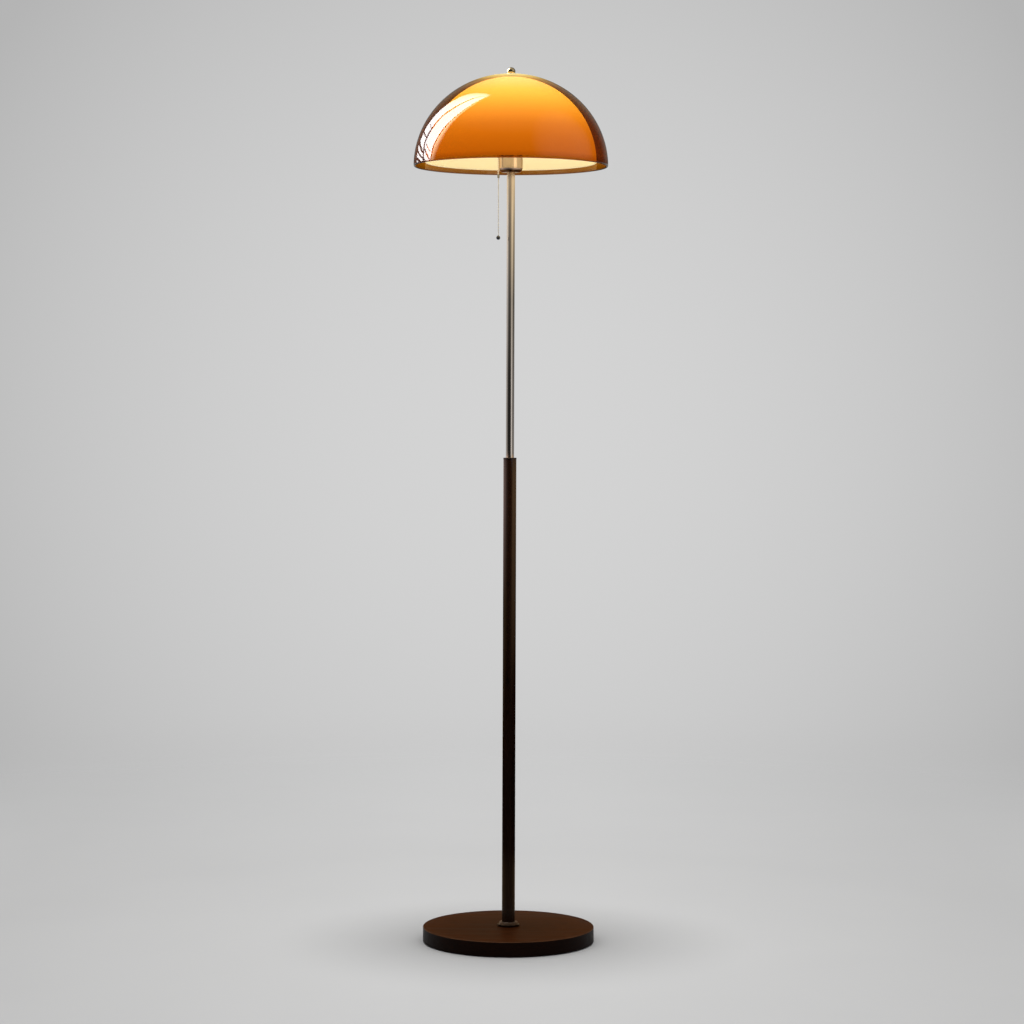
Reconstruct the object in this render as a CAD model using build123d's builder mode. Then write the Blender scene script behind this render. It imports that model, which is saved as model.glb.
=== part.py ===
from build123d import *
import os
from math import cos, pi, radians, sin, sqrt

# Mushroom floor lamp, millimetres. +Z is up, the origin is the centre of the felt face that
# rests on the floor, and -Y is the lamp's front.

# ---------------------------------------------------------------- driving dimensions
fit = 0.05                  # radial clearance of a piece that seats or turns in a bore

# base
base_dia = 310.0
base_thickness = 26.0       # wooden disc alone
base_edge_round = 1.6
felt_dia = 294.0
felt_thickness = 2.0
plate_dia = 286.0
plate_thickness = 1.5
weight_dia = 248.0
weight_thickness = 14.0
weight_clearance = 2.0      # round the weight, in the recess of the disc
recess_depth = 17.0         # of the disc, from its underside
plate_screw_circle_dia = 270.0
plate_screw_count = 4
plate_screw_dia = 3.6
plate_screw_head_dia = 7.0
plate_screw_length = 12.0
bushing_bore = 7.0
bushing_dia = 10.4
bushing_flange_dia = 14.0
bushing_flange_thickness = 1.5
bushing_height = 13.0       # of the cord outlet's axis above the floor
cord_channel_width = 9.0
nut_pocket_dia = 30.0
nut_pocket_depth = 8.0
washer_dia = 26.0
washer_thickness = 2.0
nut_across_flats = 17.0
nut_thickness = 5.0

# pole
rod_dia = 10.0              # hollow threaded rod that ties base and poles together
rod_bore = 7.0
rod_tail = 0.4              # rod below the nut
rod_in_coupling = 28.0
flange_dia = 40.0
flange_thickness = 3.5
collar_dia = 33.5
collar_height = 4.5
collar_edge_round = 1.2
post_dia = 23.5
post_length = 847.0
post_bore = 10.6
post_cap_dia = 24.0
post_cap_thickness = 3.0
post_cap_chamfer = 0.7
pole_dia = 15.0
pole_wall = 1.2
pole_length = 536.0
pole_socket_depth = 20.0    # of the pole in the post
coupling_length = 40.0
top_bush_length = 22.0

# lampholder
husk_dia = 42.0
husk_height = 31.0
husk_wall = 1.2
husk_round = 7.0            # of the cup's lower edge
nipple_dia = 10.0
nipple_bore = 7.0
nipple_length = 32.0
nipple_in_bush = 19.0
saddle_thickness = 1.5
saddle_width = 8.0
saddle_half_span = 18.5     # axis to the middle of an upright, inside the cup
saddle_tongue_width = 3.2
tongue_height = 12.0        # of the tongues above the cup's edge
saddle_eye_dia = 18.0
saddle_bend_gap = 1.0       # foot's bend short of the cup's round
saddle_edge_gap = 1.0       # arms step outward this far above the cup's edge
cap_dia = 33.4
cap_wall = 0.7
cap_height = 14.0
cap_round = 8.0
cap_hub_dia = 15.0
cap_hub_height = 10.3
shell_wall = 0.6
shell_height = 54.8
shell_lap = 5.5             # of the shell in the cap
liner_wall = 0.7
liner_lap = 1.0             # how far the liner stops short of the shell's ends
switch_height = 28.0
switch_slot_width = 10.0
switch_slot_play = 1.3      # round the drum
screw_shell_bore = 26.6
screw_shell_wall = 0.4
screw_shell_height = 24.0
contact_dia = 8.0
contact_thickness = 1.0
contact_rise = 1.0
terminal_circle_radius = 10.5
terminal_head_dia = 6.0
terminal_head_thickness = 2.6
terminal_dia = 3.0
terminal_length = 5.0

# pull switch and chain
nozzle_angle = 214.3        # direction of the chain outlet, from +X, seen from above
nozzle_reach = 27.0         # axis of the lamp to the hanging chain
nozzle_above_husk = 5.5     # axis of the outlet above the cup's edge
nozzle_bend = 5.0
nozzle_dia = 6.0
nozzle_bore = 4.2
nozzle_flange_dia = 9.0
nozzle_flange_thickness = 1.2
nozzle_drop = 10.0          # axis of the outlet to the mouth
bell_dia = 8.0
bell_height = 2.6
pivot_below_mouth = 1.0
drum_chain_radius = 9.0     # pin to the chain's centre line
drum_chain_gap = 0.2
drum_width = 4.0
drum_bore = 2.6
drum_play = 0.8             # between the drum and the wall of its slot
ratchet_teeth = 8
ratchet_dia = 10.0
ratchet_root_dia = 7.6
ratchet_width = 1.2
pin_length = 18.0
spring_wire = 0.5
spring_dia = 5.0            # mean, round the pin
spring_turns = 3
spring_pitch = 0.95
bead_dia = 3.2
bead_pitch = 3.6
bead_link_dia = 1.0
fine_bead_dia = 2.3
fine_bead_pitch = 2.8
fine_bead_link_dia = 0.8
upper_bead_count = 8
lower_bead_count = 37
feed_bead_count = 4
head_bead_count = 2
feed_start = 2.0            # first bead of the feed, past the pin
swivel_gap = 0.05           # between the swivel bead and the links that turn on it
connector_dia = 4.2
connector_length = 6.4
connector_edge = 0.6
ball_dia = 7.4

# bulb
bulb_dia = 60.0
bulb_length = 108.0         # contact to crown
bulb_neck_dia = 27.0
bulb_neck_angle = 40.0      # where the flank leaves the globe, below its equator
bulb_wall = 1.0
bulb_cap_dia = 26.3
bulb_cap_height = 21.0
bulb_cap_wall = 0.5
bulb_thread_depth = 0.9
bulb_thread_pitch = 3.6
bulb_thread_count = 4
bulb_insulator_height = 3.2
bulb_contact_dia = 9.0
bulb_contact_thickness = 1.2

# harp
harp_wire_dia = 3.2
harp_foot_half_span = 21.0
harp_half_width = 42.0
harp_foot_height = 8.0      # wire that stands straight above the tongue
harp_flare_height = 46.0
harp_crown_height = 20.0    # from the top of the straight sides to the middle of the wire
harp_top_half_span = 14.0
harp_foot_bend = 12.0
harp_side_bend = 22.0
harp_top_bend = 10.0
harp_bulb_gap = 10.0        # crown of the bulb to the middle of the wire
harp_boss_dia = 10.0
harp_boss_height = 6.0
harp_seat_dia = 22.0
harp_seat_thickness = 2.0
ferrule_dia = 6.4
ferrule_bore = 3.9
ferrule_length = 14.0
ferrule_play = 0.3          # below the ferrule, where the tongue widens
stud_dia = 6.35
stud_in_boss = 4.0
stud_in_finial = 6.0

# shades
shade_radius = 175.0
shade_rise = 166.0
shade_wall = 3.0
diffuser_wall = 3.0
diffuser_rim_lift = 6.7     # of its rim above the shade's rim
rim_gap = 18.0              # between the two domes at their rims
crown_gap = 2.3             # between the two domes at their crowns
shade_hole_dia = 11.0
rim_round = 0.9
gasket_dia = 24.0
gasket_thickness = 1.5
finial_washer_dia = 17.0
finial_washer_thickness = 1.2
finial_dia = 15.2
finial_cut = 3.3            # centre of the ball to its flat foot


# ---------------------------------------------------------------- heights, from the floor up
disc_bottom = felt_thickness
disc_top = disc_bottom + base_thickness
recess_top = disc_bottom + recess_depth
weight_bottom = recess_top - weight_thickness
washer_bottom = weight_bottom + nut_pocket_depth - washer_thickness
nut_bottom = washer_bottom - nut_thickness
rod_bottom = nut_bottom - rod_tail
flange_top = disc_top + flange_thickness
post_top = disc_top + post_length
pole_bottom = post_top - pole_socket_depth
pole_top = pole_bottom + pole_length
husk_top = pole_top + husk_height
saddle_bottom = pole_top + husk_wall
cap_bottom = saddle_bottom + saddle_thickness
cap_top = cap_bottom + cap_height
switch_bottom = cap_bottom + cap_hub_height
switch_top = switch_bottom + switch_height
shell_bottom = cap_top - shell_lap
nozzle_height = husk_top + nozzle_above_husk
mouth_height = nozzle_height - nozzle_drop
pivot_height = mouth_height - pivot_below_mouth
drum_height = nozzle_height - drum_chain_radius
bulb_bottom = switch_top + contact_thickness + contact_rise
bulb_crown = bulb_bottom + bulb_length
globe_height = bulb_crown - bulb_dia / 2
bulb_cap_bottom = bulb_bottom + bulb_contact_thickness + bulb_insulator_height
bulb_cap_top = bulb_cap_bottom + bulb_cap_height


def dome_height(radius, rim_height, rim_radius, rise):
    """Height of a half-ellipse dome's surface at a distance from its axis."""
    return rim_height + rise * sqrt(1 - (radius / rim_radius) ** 2)


# The stack that clamps both domes, from the harp over the bulb up to the finial.
harp_wire_top = bulb_crown + harp_bulb_gap
boss_bottom = harp_wire_top - harp_boss_height / 2
harp_seat_bottom = boss_bottom + harp_boss_height
gasket_bottom = harp_seat_bottom + harp_seat_thickness
gasket_top = gasket_bottom + gasket_thickness

hole_radius = shade_hole_dia / 2
diffuser_radius = shade_radius - shade_wall - rim_gap
diffuser_rise = shade_rise - shade_wall - crown_gap - diffuser_rim_lift
diffuser_rim_height = gasket_top - dome_height(
    gasket_dia / 2, 0, diffuser_radius - diffuser_wall, diffuser_rise - diffuser_wall
)
shade_rim_height = diffuser_rim_height - diffuser_rim_lift
spacer_bottom = dome_height(hole_radius, diffuser_rim_height, diffuser_radius, diffuser_rise)
spacer_top = dome_height(
    gasket_dia / 2, shade_rim_height, shade_radius - shade_wall, shade_rise - shade_wall
)
shade_top_seat = dome_height(hole_radius, shade_rim_height, shade_radius, shade_rise)
finial_foot = shade_top_seat + finial_washer_thickness
finial_centre = finial_foot + finial_cut

tongue_top = husk_top + tongue_height
ferrule_bottom = tongue_top - ferrule_length / 2
harp_foot = tongue_top + fit

# Upright plane through the lamp's axis and the chain outlet: x runs outward, y runs up.
outward = (cos(radians(nozzle_angle)), sin(radians(nozzle_angle)), 0)
sideways = (outward[1], -outward[0], 0)
nozzle_plane = Plane(origin=(0, 0, 0), x_dir=outward, z_dir=sideways)
outlet_plane = Plane(origin=(0, 0, 0), x_dir=(-sideways[0], -sideways[1], 0), z_dir=outward)
chain_x = nozzle_reach * outward[0]
chain_y = nozzle_reach * outward[1]


# ---------------------------------------------------------------- shared shapes
def ring(outer_dia, inner_dia, bottom, thickness):
    """Flat ring, washer or disc round the lamp's axis."""
    with BuildPart() as piece:
        with BuildSketch(Plane.XY.offset(bottom)):
            Circle(outer_dia / 2)
            if inner_dia > 0:
                Circle(inner_dia / 2, mode=Mode.SUBTRACT)
        extrude(amount=thickness)
    return piece


def dome(rim_radius, rise, wall, rim_height):
    """Thin half-ellipse shell, open below, with a hole at its crown for the stud."""
    with BuildPart() as piece:
        with BuildSketch(Plane.XZ):
            with Locations((0, rim_height)):
                Ellipse(rim_radius, rise)
                Ellipse(rim_radius - wall, rise - wall, mode=Mode.SUBTRACT)
            with Locations((hole_radius, rim_height)):
                Rectangle(rim_radius, rise, align=(Align.MIN, Align.MIN), mode=Mode.INTERSECT)
        revolve(axis=Axis.Z)
        fillet(piece.edges().filter_by(GeomType.CIRCLE).group_by(Axis.Z)[0], rim_round)
    return piece


def bead_string(plane, count, bead, pitch, link, lead=0.0, tail=0.0):
    """Balls on short links, made as one turned outline. The plane's origin is the first ball's
    centre and the string runs against the plane's y. A lead or tail is the length of the link
    that stands out past the end ball."""
    ball = bead / 2
    stem = link / 2
    neck = sqrt(ball**2 - stem**2)
    diagonal = ball * sqrt(0.5)
    last = -pitch * (count - 1)
    with BuildPart() as piece:
        with BuildSketch(plane):
            with BuildLine():
                if lead > 0:
                    Polyline((0, ball + lead), (stem, ball + lead), (stem, neck))
                    ThreePointArc((stem, neck), (diagonal, diagonal), (ball, 0))
                else:
                    ThreePointArc((0, ball), (diagonal, diagonal), (ball, 0))
                for gap in range(count - 1):
                    y = -pitch * gap
                    next_y = y - pitch
                    ThreePointArc((ball, y), (diagonal, y - diagonal), (stem, y - neck))
                    Line((stem, y - neck), (stem, next_y + neck))
                    ThreePointArc((stem, next_y + neck), (diagonal, next_y + diagonal), (ball, next_y))
                if tail > 0:
                    ThreePointArc((ball, last), (diagonal, last - diagonal), (stem, last - neck))
                    Polyline((stem, last - neck), (stem, last - ball - tail), (0, last - ball - tail))
                    Line((0, last - ball - tail), (0, ball + lead))
                else:
                    ThreePointArc((ball, last), (diagonal, last - diagonal), (0, last - ball))
                    Line((0, last - ball), (0, ball + lead))
            make_face()
        revolve(axis=Axis(plane.origin, plane.y_dir))
    return piece


def hanging_plane(height):
    """Upright plane through the hanging chain's axis."""
    return Plane(origin=(chain_x, chain_y, height), x_dir=outward, z_dir=sideways)


# ---------------------------------------------------------------- base
felt_pad = ring(felt_dia, 0, 0, felt_thickness)

with BuildPart() as base_disc:
    with BuildSketch(Plane.XY.offset(disc_bottom)):
        Circle(base_dia / 2)
    extrude(amount=base_thickness)
    fillet(base_disc.edges().group_by(Axis.Z)[-1], base_edge_round)
    with BuildSketch(Plane.XY.offset(disc_bottom)):
        Circle(weight_dia / 2 + weight_clearance)
    extrude(amount=recess_depth, mode=Mode.SUBTRACT)
    with BuildSketch(Plane.XY.offset(disc_bottom)):
        Circle(plate_dia / 2 + fit)
    extrude(amount=plate_thickness, mode=Mode.SUBTRACT)
    with BuildSketch(Plane.XY.offset(recess_top)):
        Circle(rod_dia / 2 + fit)
    extrude(amount=base_thickness - recess_depth, mode=Mode.SUBTRACT)
    with BuildSketch(Plane.XZ):
        with Locations((0, bushing_height)):
            Circle(bushing_dia / 2 + fit)
    extrude(amount=-base_dia, mode=Mode.SUBTRACT)
    with BuildSketch(Plane.XY.offset(disc_bottom)):
        with PolarLocations(plate_screw_circle_dia / 2, plate_screw_count, start_angle=45):
            Circle(plate_screw_dia / 2 + fit)
    extrude(amount=plate_screw_length + fit, mode=Mode.SUBTRACT)

with BuildPart() as base_weight:
    with BuildSketch(Plane.XY.offset(weight_bottom)):
        Circle(weight_dia / 2)
        Circle(rod_dia / 2 + fit, mode=Mode.SUBTRACT)
    extrude(amount=weight_thickness)
    with BuildSketch(Plane.XY.offset(weight_bottom)):
        Circle(nut_pocket_dia / 2)
        Rectangle(cord_channel_width, weight_dia, align=(Align.CENTER, Align.MIN))
    extrude(amount=nut_pocket_depth, mode=Mode.SUBTRACT)

with BuildPart() as bottom_plate:
    with BuildSketch(Plane.XY.offset(disc_bottom)):
        Circle(plate_dia / 2)
    extrude(amount=plate_thickness)
    with Locations((0, 0, disc_bottom)):
        with PolarLocations(plate_screw_circle_dia / 2, plate_screw_count, start_angle=45):
            Cone(
                plate_screw_head_dia / 2 + fit,
                plate_screw_dia / 2 + fit,
                plate_thickness,
                align=(Align.CENTER, Align.CENTER, Align.MIN),
                mode=Mode.SUBTRACT,
            )

with BuildPart() as plate_screws:
    with Locations((0, 0, disc_bottom)):
        with PolarLocations(plate_screw_circle_dia / 2, plate_screw_count, start_angle=45):
            Cone(
                plate_screw_head_dia / 2,
                plate_screw_dia / 2,
                plate_thickness,
                align=(Align.CENTER, Align.CENTER, Align.MIN),
            )
            Cylinder(
                plate_screw_dia / 2,
                plate_screw_length,
                align=(Align.CENTER, Align.CENTER, Align.MIN),
            )

with BuildPart() as cord_bushing:
    with BuildSketch(Plane.XZ.offset(-(weight_dia / 2 + weight_clearance))):
        with Locations((0, bushing_height)):
            Circle(bushing_dia / 2)
            Circle(bushing_bore / 2, mode=Mode.SUBTRACT)
    extrude(amount=-(base_dia - weight_dia) / 2 + weight_clearance)
    with BuildSketch(Plane.XZ.offset(-base_dia / 2)):
        with Locations((0, bushing_height)):
            Circle(bushing_flange_dia / 2)
            Circle(bushing_bore / 2, mode=Mode.SUBTRACT)
    extrude(amount=-bushing_flange_thickness)

rod_washer = ring(washer_dia, rod_dia + 2 * fit, washer_bottom, washer_thickness)

with BuildPart() as rod_nut:
    with BuildSketch(Plane.XY.offset(nut_bottom)):
        RegularPolygon(nut_across_flats / 2, 6, major_radius=False)
        Circle(rod_dia / 2 + fit, mode=Mode.SUBTRACT)
    extrude(amount=nut_thickness)


# ---------------------------------------------------------------- pole
tie_rod = ring(rod_dia, rod_bore, rod_bottom, pole_bottom + rod_in_coupling - rod_bottom)

collar_flange = ring(flange_dia, post_dia + 2 * fit, disc_top, flange_thickness)

with BuildPart() as collar_ring:
    with BuildSketch(Plane.XY.offset(flange_top)):
        Circle(collar_dia / 2)
        Circle(post_dia / 2 + fit, mode=Mode.SUBTRACT)
    extrude(amount=collar_height)
    fillet(collar_ring.edges().group_by(Axis.Z)[-1].sort_by(SortBy.LENGTH)[-1], collar_edge_round)

with BuildPart() as lower_post:
    with BuildSketch(Plane.XY.offset(disc_top)):
        Circle(post_dia / 2)
        Circle(post_bore / 2, mode=Mode.SUBTRACT)
    extrude(amount=post_length)
    with BuildSketch(Plane.XY.offset(pole_bottom)):
        Circle(pole_dia / 2 + fit)
    extrude(amount=pole_socket_depth, mode=Mode.SUBTRACT)

with BuildPart() as post_cap:
    with BuildSketch(Plane.XY.offset(post_top)):
        Circle(post_cap_dia / 2)
        Circle(pole_dia / 2 + fit, mode=Mode.SUBTRACT)
    extrude(amount=post_cap_thickness)
    chamfer(post_cap.edges().group_by(Axis.Z)[-1].sort_by(SortBy.LENGTH)[-1], post_cap_chamfer)

upper_pole = ring(pole_dia, pole_dia - 2 * pole_wall, pole_bottom, pole_length)
insert_dia = pole_dia - 2 * pole_wall - 2 * fit
pole_coupling = ring(insert_dia, rod_dia + 2 * fit, pole_bottom, coupling_length)
pole_top_bush = ring(insert_dia, nipple_dia + 2 * fit, pole_top - top_bush_length, top_bush_length)
lamp_nipple = ring(nipple_dia, nipple_bore, pole_top - nipple_in_bush, nipple_length)


# ---------------------------------------------------------------- lampholder
with BuildPart() as socket_husk:
    with BuildSketch(Plane.XZ):
        with BuildLine():
            husk_side = husk_dia / 2
            Polyline((nipple_dia / 2 + fit, pole_top), (husk_side - husk_round, pole_top))
            RadiusArc((husk_side - husk_round, pole_top), (husk_side, pole_top + husk_round), -husk_round)
            Polyline(
                (husk_side, pole_top + husk_round),
                (husk_side, husk_top),
                (husk_side - husk_wall, husk_top),
                (husk_side - husk_wall, pole_top + husk_round),
            )
            RadiusArc(
                (husk_side - husk_wall, pole_top + husk_round),
                (husk_side - husk_round, pole_top + husk_wall),
                husk_round - husk_wall,
            )
            Polyline(
                (husk_side - husk_round, pole_top + husk_wall),
                (nipple_dia / 2 + fit, pole_top + husk_wall),
                (nipple_dia / 2 + fit, pole_top),
            )
        make_face()
    revolve(axis=Axis.Z)

# A bent strip: its foot is a round eye under the lampholder, its two arms follow the cup's
# round up inside it, step out above the cup's edge and end in narrow tongues.
arm_inner = saddle_half_span - saddle_thickness / 2
arm_outer = saddle_half_span + saddle_thickness / 2
tongue_inner = harp_foot_half_span - saddle_thickness / 2
tongue_outer = harp_foot_half_span + saddle_thickness / 2
bend_start = husk_dia / 2 - husk_round - saddle_bend_gap
bend_top = pole_top + husk_round
arm_step_bottom = husk_top + saddle_edge_gap
arm_step_top = arm_step_bottom + (harp_foot_half_span - saddle_half_span)
tongue_bottom = ferrule_bottom - ferrule_play
with BuildPart() as harp_saddle:
    with BuildSketch(Plane.YZ.offset(-saddle_width / 2)):
        with BuildLine():
            Polyline(
                (0, saddle_bottom),
                (bend_start, saddle_bottom),
                (arm_outer, bend_top),
                (arm_outer, arm_step_bottom),
                (tongue_outer, arm_step_top),
                (tongue_outer, tongue_top),
                (tongue_inner, tongue_top),
                (tongue_inner, arm_step_top),
                (arm_inner, arm_step_bottom),
                (arm_inner, bend_top + saddle_thickness / 2),
                (bend_start - saddle_thickness / 2, cap_bottom),
                (0, cap_bottom),
                close=True,
            )
        make_face()
        mirror(about=Plane.YZ)
    extrude(amount=saddle_width)
    with BuildSketch(Plane.XZ):
        with Locations((saddle_tongue_width / 2, tongue_bottom)):
            Rectangle(saddle_width, ferrule_length, align=(Align.MIN, Align.MIN))
        mirror(about=Plane.YZ)
    extrude(amount=husk_dia, both=True, mode=Mode.SUBTRACT)
    with BuildSketch(Plane.XY.offset(saddle_bottom)):
        Circle(saddle_eye_dia / 2)
    extrude(amount=saddle_thickness)
    with BuildSketch(Plane.XY.offset(saddle_bottom)):
        Circle(nipple_dia / 2 + fit)
    extrude(amount=saddle_thickness, mode=Mode.SUBTRACT)

with BuildPart() as holder_cap:
    with BuildSketch(Plane.XZ):
        with BuildLine():
            cap_side = cap_dia / 2
            cap_inside = cap_side - cap_wall
            cap_foot = cap_side - cap_round
            Line((nipple_dia / 2 + fit, cap_bottom), (cap_foot, cap_bottom))
            RadiusArc((cap_foot, cap_bottom), (cap_side, cap_bottom + cap_round), -cap_round)
            Polyline(
                (cap_side, cap_bottom + cap_round),
                (cap_side, cap_top),
                (cap_inside, cap_top),
                (cap_inside, cap_bottom + cap_round),
            )
            RadiusArc(
                (cap_inside, cap_bottom + cap_round),
                (cap_foot, cap_bottom + cap_wall),
                cap_round - cap_wall,
            )
            Polyline(
                (cap_foot, cap_bottom + cap_wall),
                (cap_hub_dia / 2, cap_bottom + cap_wall),
                (cap_hub_dia / 2, switch_bottom),
                (nipple_dia / 2 + fit, switch_bottom),
                (nipple_dia / 2 + fit, cap_bottom),
            )
        make_face()
    revolve(axis=Axis.Z)

shell_dia = cap_dia - 2 * cap_wall - 2 * fit
with BuildPart() as holder_shell:
    with BuildSketch(Plane.XY.offset(shell_bottom)):
        Circle(shell_dia / 2)
        Circle(shell_dia / 2 - shell_wall, mode=Mode.SUBTRACT)
    extrude(amount=shell_height)
    with BuildSketch(outlet_plane):
        with Locations((0, nozzle_height)):
            Circle(nozzle_dia / 2 + fit)
    extrude(amount=shell_dia, mode=Mode.SUBTRACT)

liner_dia = shell_dia - 2 * shell_wall - 2 * fit
with BuildPart() as holder_liner:
    with BuildSketch(Plane.XY.offset(shell_bottom + liner_lap)):
        Circle(liner_dia / 2)
        Circle(liner_dia / 2 - liner_wall, mode=Mode.SUBTRACT)
    extrude(amount=shell_height - 2 * liner_lap)
    with BuildSketch(outlet_plane):
        with Locations((0, nozzle_height)):
            Circle(nozzle_dia / 2 + fit)
    extrude(amount=shell_dia, mode=Mode.SUBTRACT)

switch_dia = liner_dia - 2 * liner_wall - 2 * fit
drum_radius = drum_chain_radius - bead_dia / 2 - drum_chain_gap
with BuildPart() as switch_body:
    with BuildSketch(Plane.XY.offset(switch_bottom)):
        Circle(switch_dia / 2)
    extrude(amount=switch_height)
    with BuildSketch(nozzle_plane.offset(-switch_slot_width / 2)):
        with Locations((0, drum_height)):
            Circle(drum_radius + switch_slot_play)
        with Locations((-bead_dia, drum_height)):
            Rectangle(
                switch_dia,
                drum_chain_radius + bead_dia / 2 + drum_chain_gap,
                align=(Align.MIN, Align.MIN),
            )
    extrude(amount=switch_slot_width, mode=Mode.SUBTRACT)
    with BuildSketch(nozzle_plane.offset(-pin_length / 2)):
        with Locations((0, drum_height)):
            Circle(drum_bore / 2)
    extrude(amount=pin_length, mode=Mode.SUBTRACT)
    with BuildSketch(Plane.XY.offset(switch_bottom)):
        with PolarLocations(terminal_circle_radius, 2, start_angle=nozzle_angle + 90):
            Circle(terminal_dia / 2 + fit)
    extrude(amount=terminal_length, mode=Mode.SUBTRACT)

with BuildPart() as terminal_screws:
    with BuildSketch(Plane.XY.offset(switch_bottom)):
        with PolarLocations(terminal_circle_radius, 2, start_angle=nozzle_angle + 90):
            Circle(terminal_dia / 2)
    extrude(amount=terminal_length - fit)
    with BuildSketch(Plane.XY.offset(switch_bottom - terminal_head_thickness)):
        with PolarLocations(terminal_circle_radius, 2, start_angle=nozzle_angle + 90):
            Circle(terminal_head_dia / 2)
    extrude(amount=terminal_head_thickness)

with BuildPart() as centre_contact:
    with BuildSketch(Plane.XY.offset(switch_top)):
        Circle(contact_dia / 2)
    extrude(amount=contact_thickness)
    with BuildSketch(Plane.XY.offset(switch_top + contact_thickness)):
        Circle(contact_dia / 4)
    extrude(amount=contact_rise)

screw_shell = ring(
    screw_shell_bore + 2 * screw_shell_wall, screw_shell_bore, switch_top, screw_shell_height
)


# ---------------------------------------------------------------- pull switch and chain
drum_start = -switch_slot_width / 2 + drum_play
with BuildPart() as switch_drum:
    with BuildSketch(nozzle_plane.offset(drum_start)):
        with Locations((0, drum_height)):
            Circle(drum_radius)
    extrude(amount=drum_width)
    with BuildSketch(nozzle_plane.offset(drum_start + drum_width)):
        with BuildLine():
            for tooth in range(ratchet_teeth):
                root = 2 * pi * tooth / ratchet_teeth
                tip = root + 2 * pi / ratchet_teeth
                root_point = (
                    ratchet_root_dia / 2 * cos(root),
                    drum_height + ratchet_root_dia / 2 * sin(root),
                )
                tip_point = (ratchet_dia / 2 * cos(tip), drum_height + ratchet_dia / 2 * sin(tip))
                next_root = (
                    ratchet_root_dia / 2 * cos(tip),
                    drum_height + ratchet_root_dia / 2 * sin(tip),
                )
                Polyline(root_point, tip_point, next_root)
        make_face()
    extrude(amount=ratchet_width)
    with BuildSketch(nozzle_plane.offset(drum_start)):
        with Locations((0, drum_height)):
            Circle(drum_bore / 2)
    extrude(amount=drum_width + ratchet_width, mode=Mode.SUBTRACT)

with BuildPart() as drum_pin:
    with BuildSketch(nozzle_plane.offset(-pin_length / 2)):
        with Locations((0, drum_height)):
            Circle(drum_bore / 2 - fit)
    extrude(amount=pin_length)

spring_start = drum_start + drum_width + ratchet_width + spring_wire
with BuildPart() as drum_spring:
    with BuildLine():
        coil = Helix(
            spring_pitch,
            spring_pitch * spring_turns,
            spring_dia / 2,
            center=nozzle_plane.from_local_coords((0, drum_height, spring_start)),
            direction=sideways,
        )
    with BuildSketch(Plane(origin=coil @ 0, z_dir=coil % 0)):
        Circle(spring_wire / 2)
    sweep(is_frenet=True)

with BuildPart() as chain_nozzle:
    with BuildLine(nozzle_plane):
        Line((shell_dia / 2 - shell_wall, nozzle_height), (nozzle_reach - nozzle_bend, nozzle_height))
        RadiusArc(
            (nozzle_reach - nozzle_bend, nozzle_height),
            (nozzle_reach, nozzle_height - nozzle_bend),
            nozzle_bend,
        )
        Line((nozzle_reach, nozzle_height - nozzle_bend), (nozzle_reach, mouth_height))
    with BuildSketch(
        Plane(
            origin=nozzle_plane.from_local_coords((shell_dia / 2 - shell_wall, nozzle_height, 0)),
            x_dir=sideways,
            z_dir=outward,
        )
    ):
        Circle(nozzle_dia / 2)
        Circle(nozzle_bore / 2, mode=Mode.SUBTRACT)
    sweep()
    with BuildSketch(
        Plane(
            origin=nozzle_plane.from_local_coords((shell_dia / 2 + fit, nozzle_height, 0)),
            x_dir=sideways,
            z_dir=outward,
        )
    ):
        Circle(nozzle_flange_dia / 2)
        Circle(nozzle_bore / 2, mode=Mode.SUBTRACT)
    extrude(amount=nozzle_flange_thickness)
    with BuildSketch(hanging_plane(mouth_height)):
        with BuildLine():
            Polyline(
                (nozzle_dia / 2 - fit, 0),
                (bell_dia / 2, 0),
                (nozzle_dia / 2, bell_height),
                (nozzle_dia / 2 - fit, bell_height),
                close=True,
            )
        make_face()
    revolve(axis=Axis((chain_x, chain_y, 0), (0, 0, 1)))

link_reach = bead_pitch - bead_dia - swivel_gap
feed_plane = Plane(
    origin=nozzle_plane.from_local_coords((feed_start, nozzle_height, 0)),
    x_dir=(0, 0, 1),
    z_dir=sideways,
)
chain_feed = bead_string(feed_plane, feed_bead_count, bead_dia, bead_pitch, bead_link_dia)
chain_head = bead_string(
    hanging_plane(pivot_height + head_bead_count * bead_pitch),
    head_bead_count,
    bead_dia,
    bead_pitch,
    bead_link_dia,
    tail=link_reach,
)
chain_swivel = bead_string(hanging_plane(pivot_height), 1, bead_dia, bead_pitch, bead_link_dia)
upper_chain = bead_string(
    hanging_plane(pivot_height - bead_pitch),
    upper_bead_count,
    bead_dia,
    bead_pitch,
    bead_link_dia,
    lead=link_reach,
)

connector_top = pivot_height - upper_bead_count * bead_pitch - bead_dia / 2
connector_bottom = connector_top - connector_length
with BuildPart() as chain_connector:
    with BuildSketch(Plane(origin=(chain_x, chain_y, connector_bottom))):
        Circle(connector_dia / 2)
    extrude(amount=connector_length)
    chamfer(chain_connector.edges().filter_by(GeomType.CIRCLE), connector_edge)

lower_chain = bead_string(
    hanging_plane(connector_bottom - fine_bead_dia / 2),
    lower_bead_count,
    fine_bead_dia,
    fine_bead_pitch,
    fine_bead_link_dia,
)

ball_top = connector_bottom - fine_bead_dia - (lower_bead_count - 1) * fine_bead_pitch
with BuildPart() as pull_ball:
    with Locations((chain_x, chain_y, ball_top - ball_dia / 2)):
        Sphere(ball_dia / 2)


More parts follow.
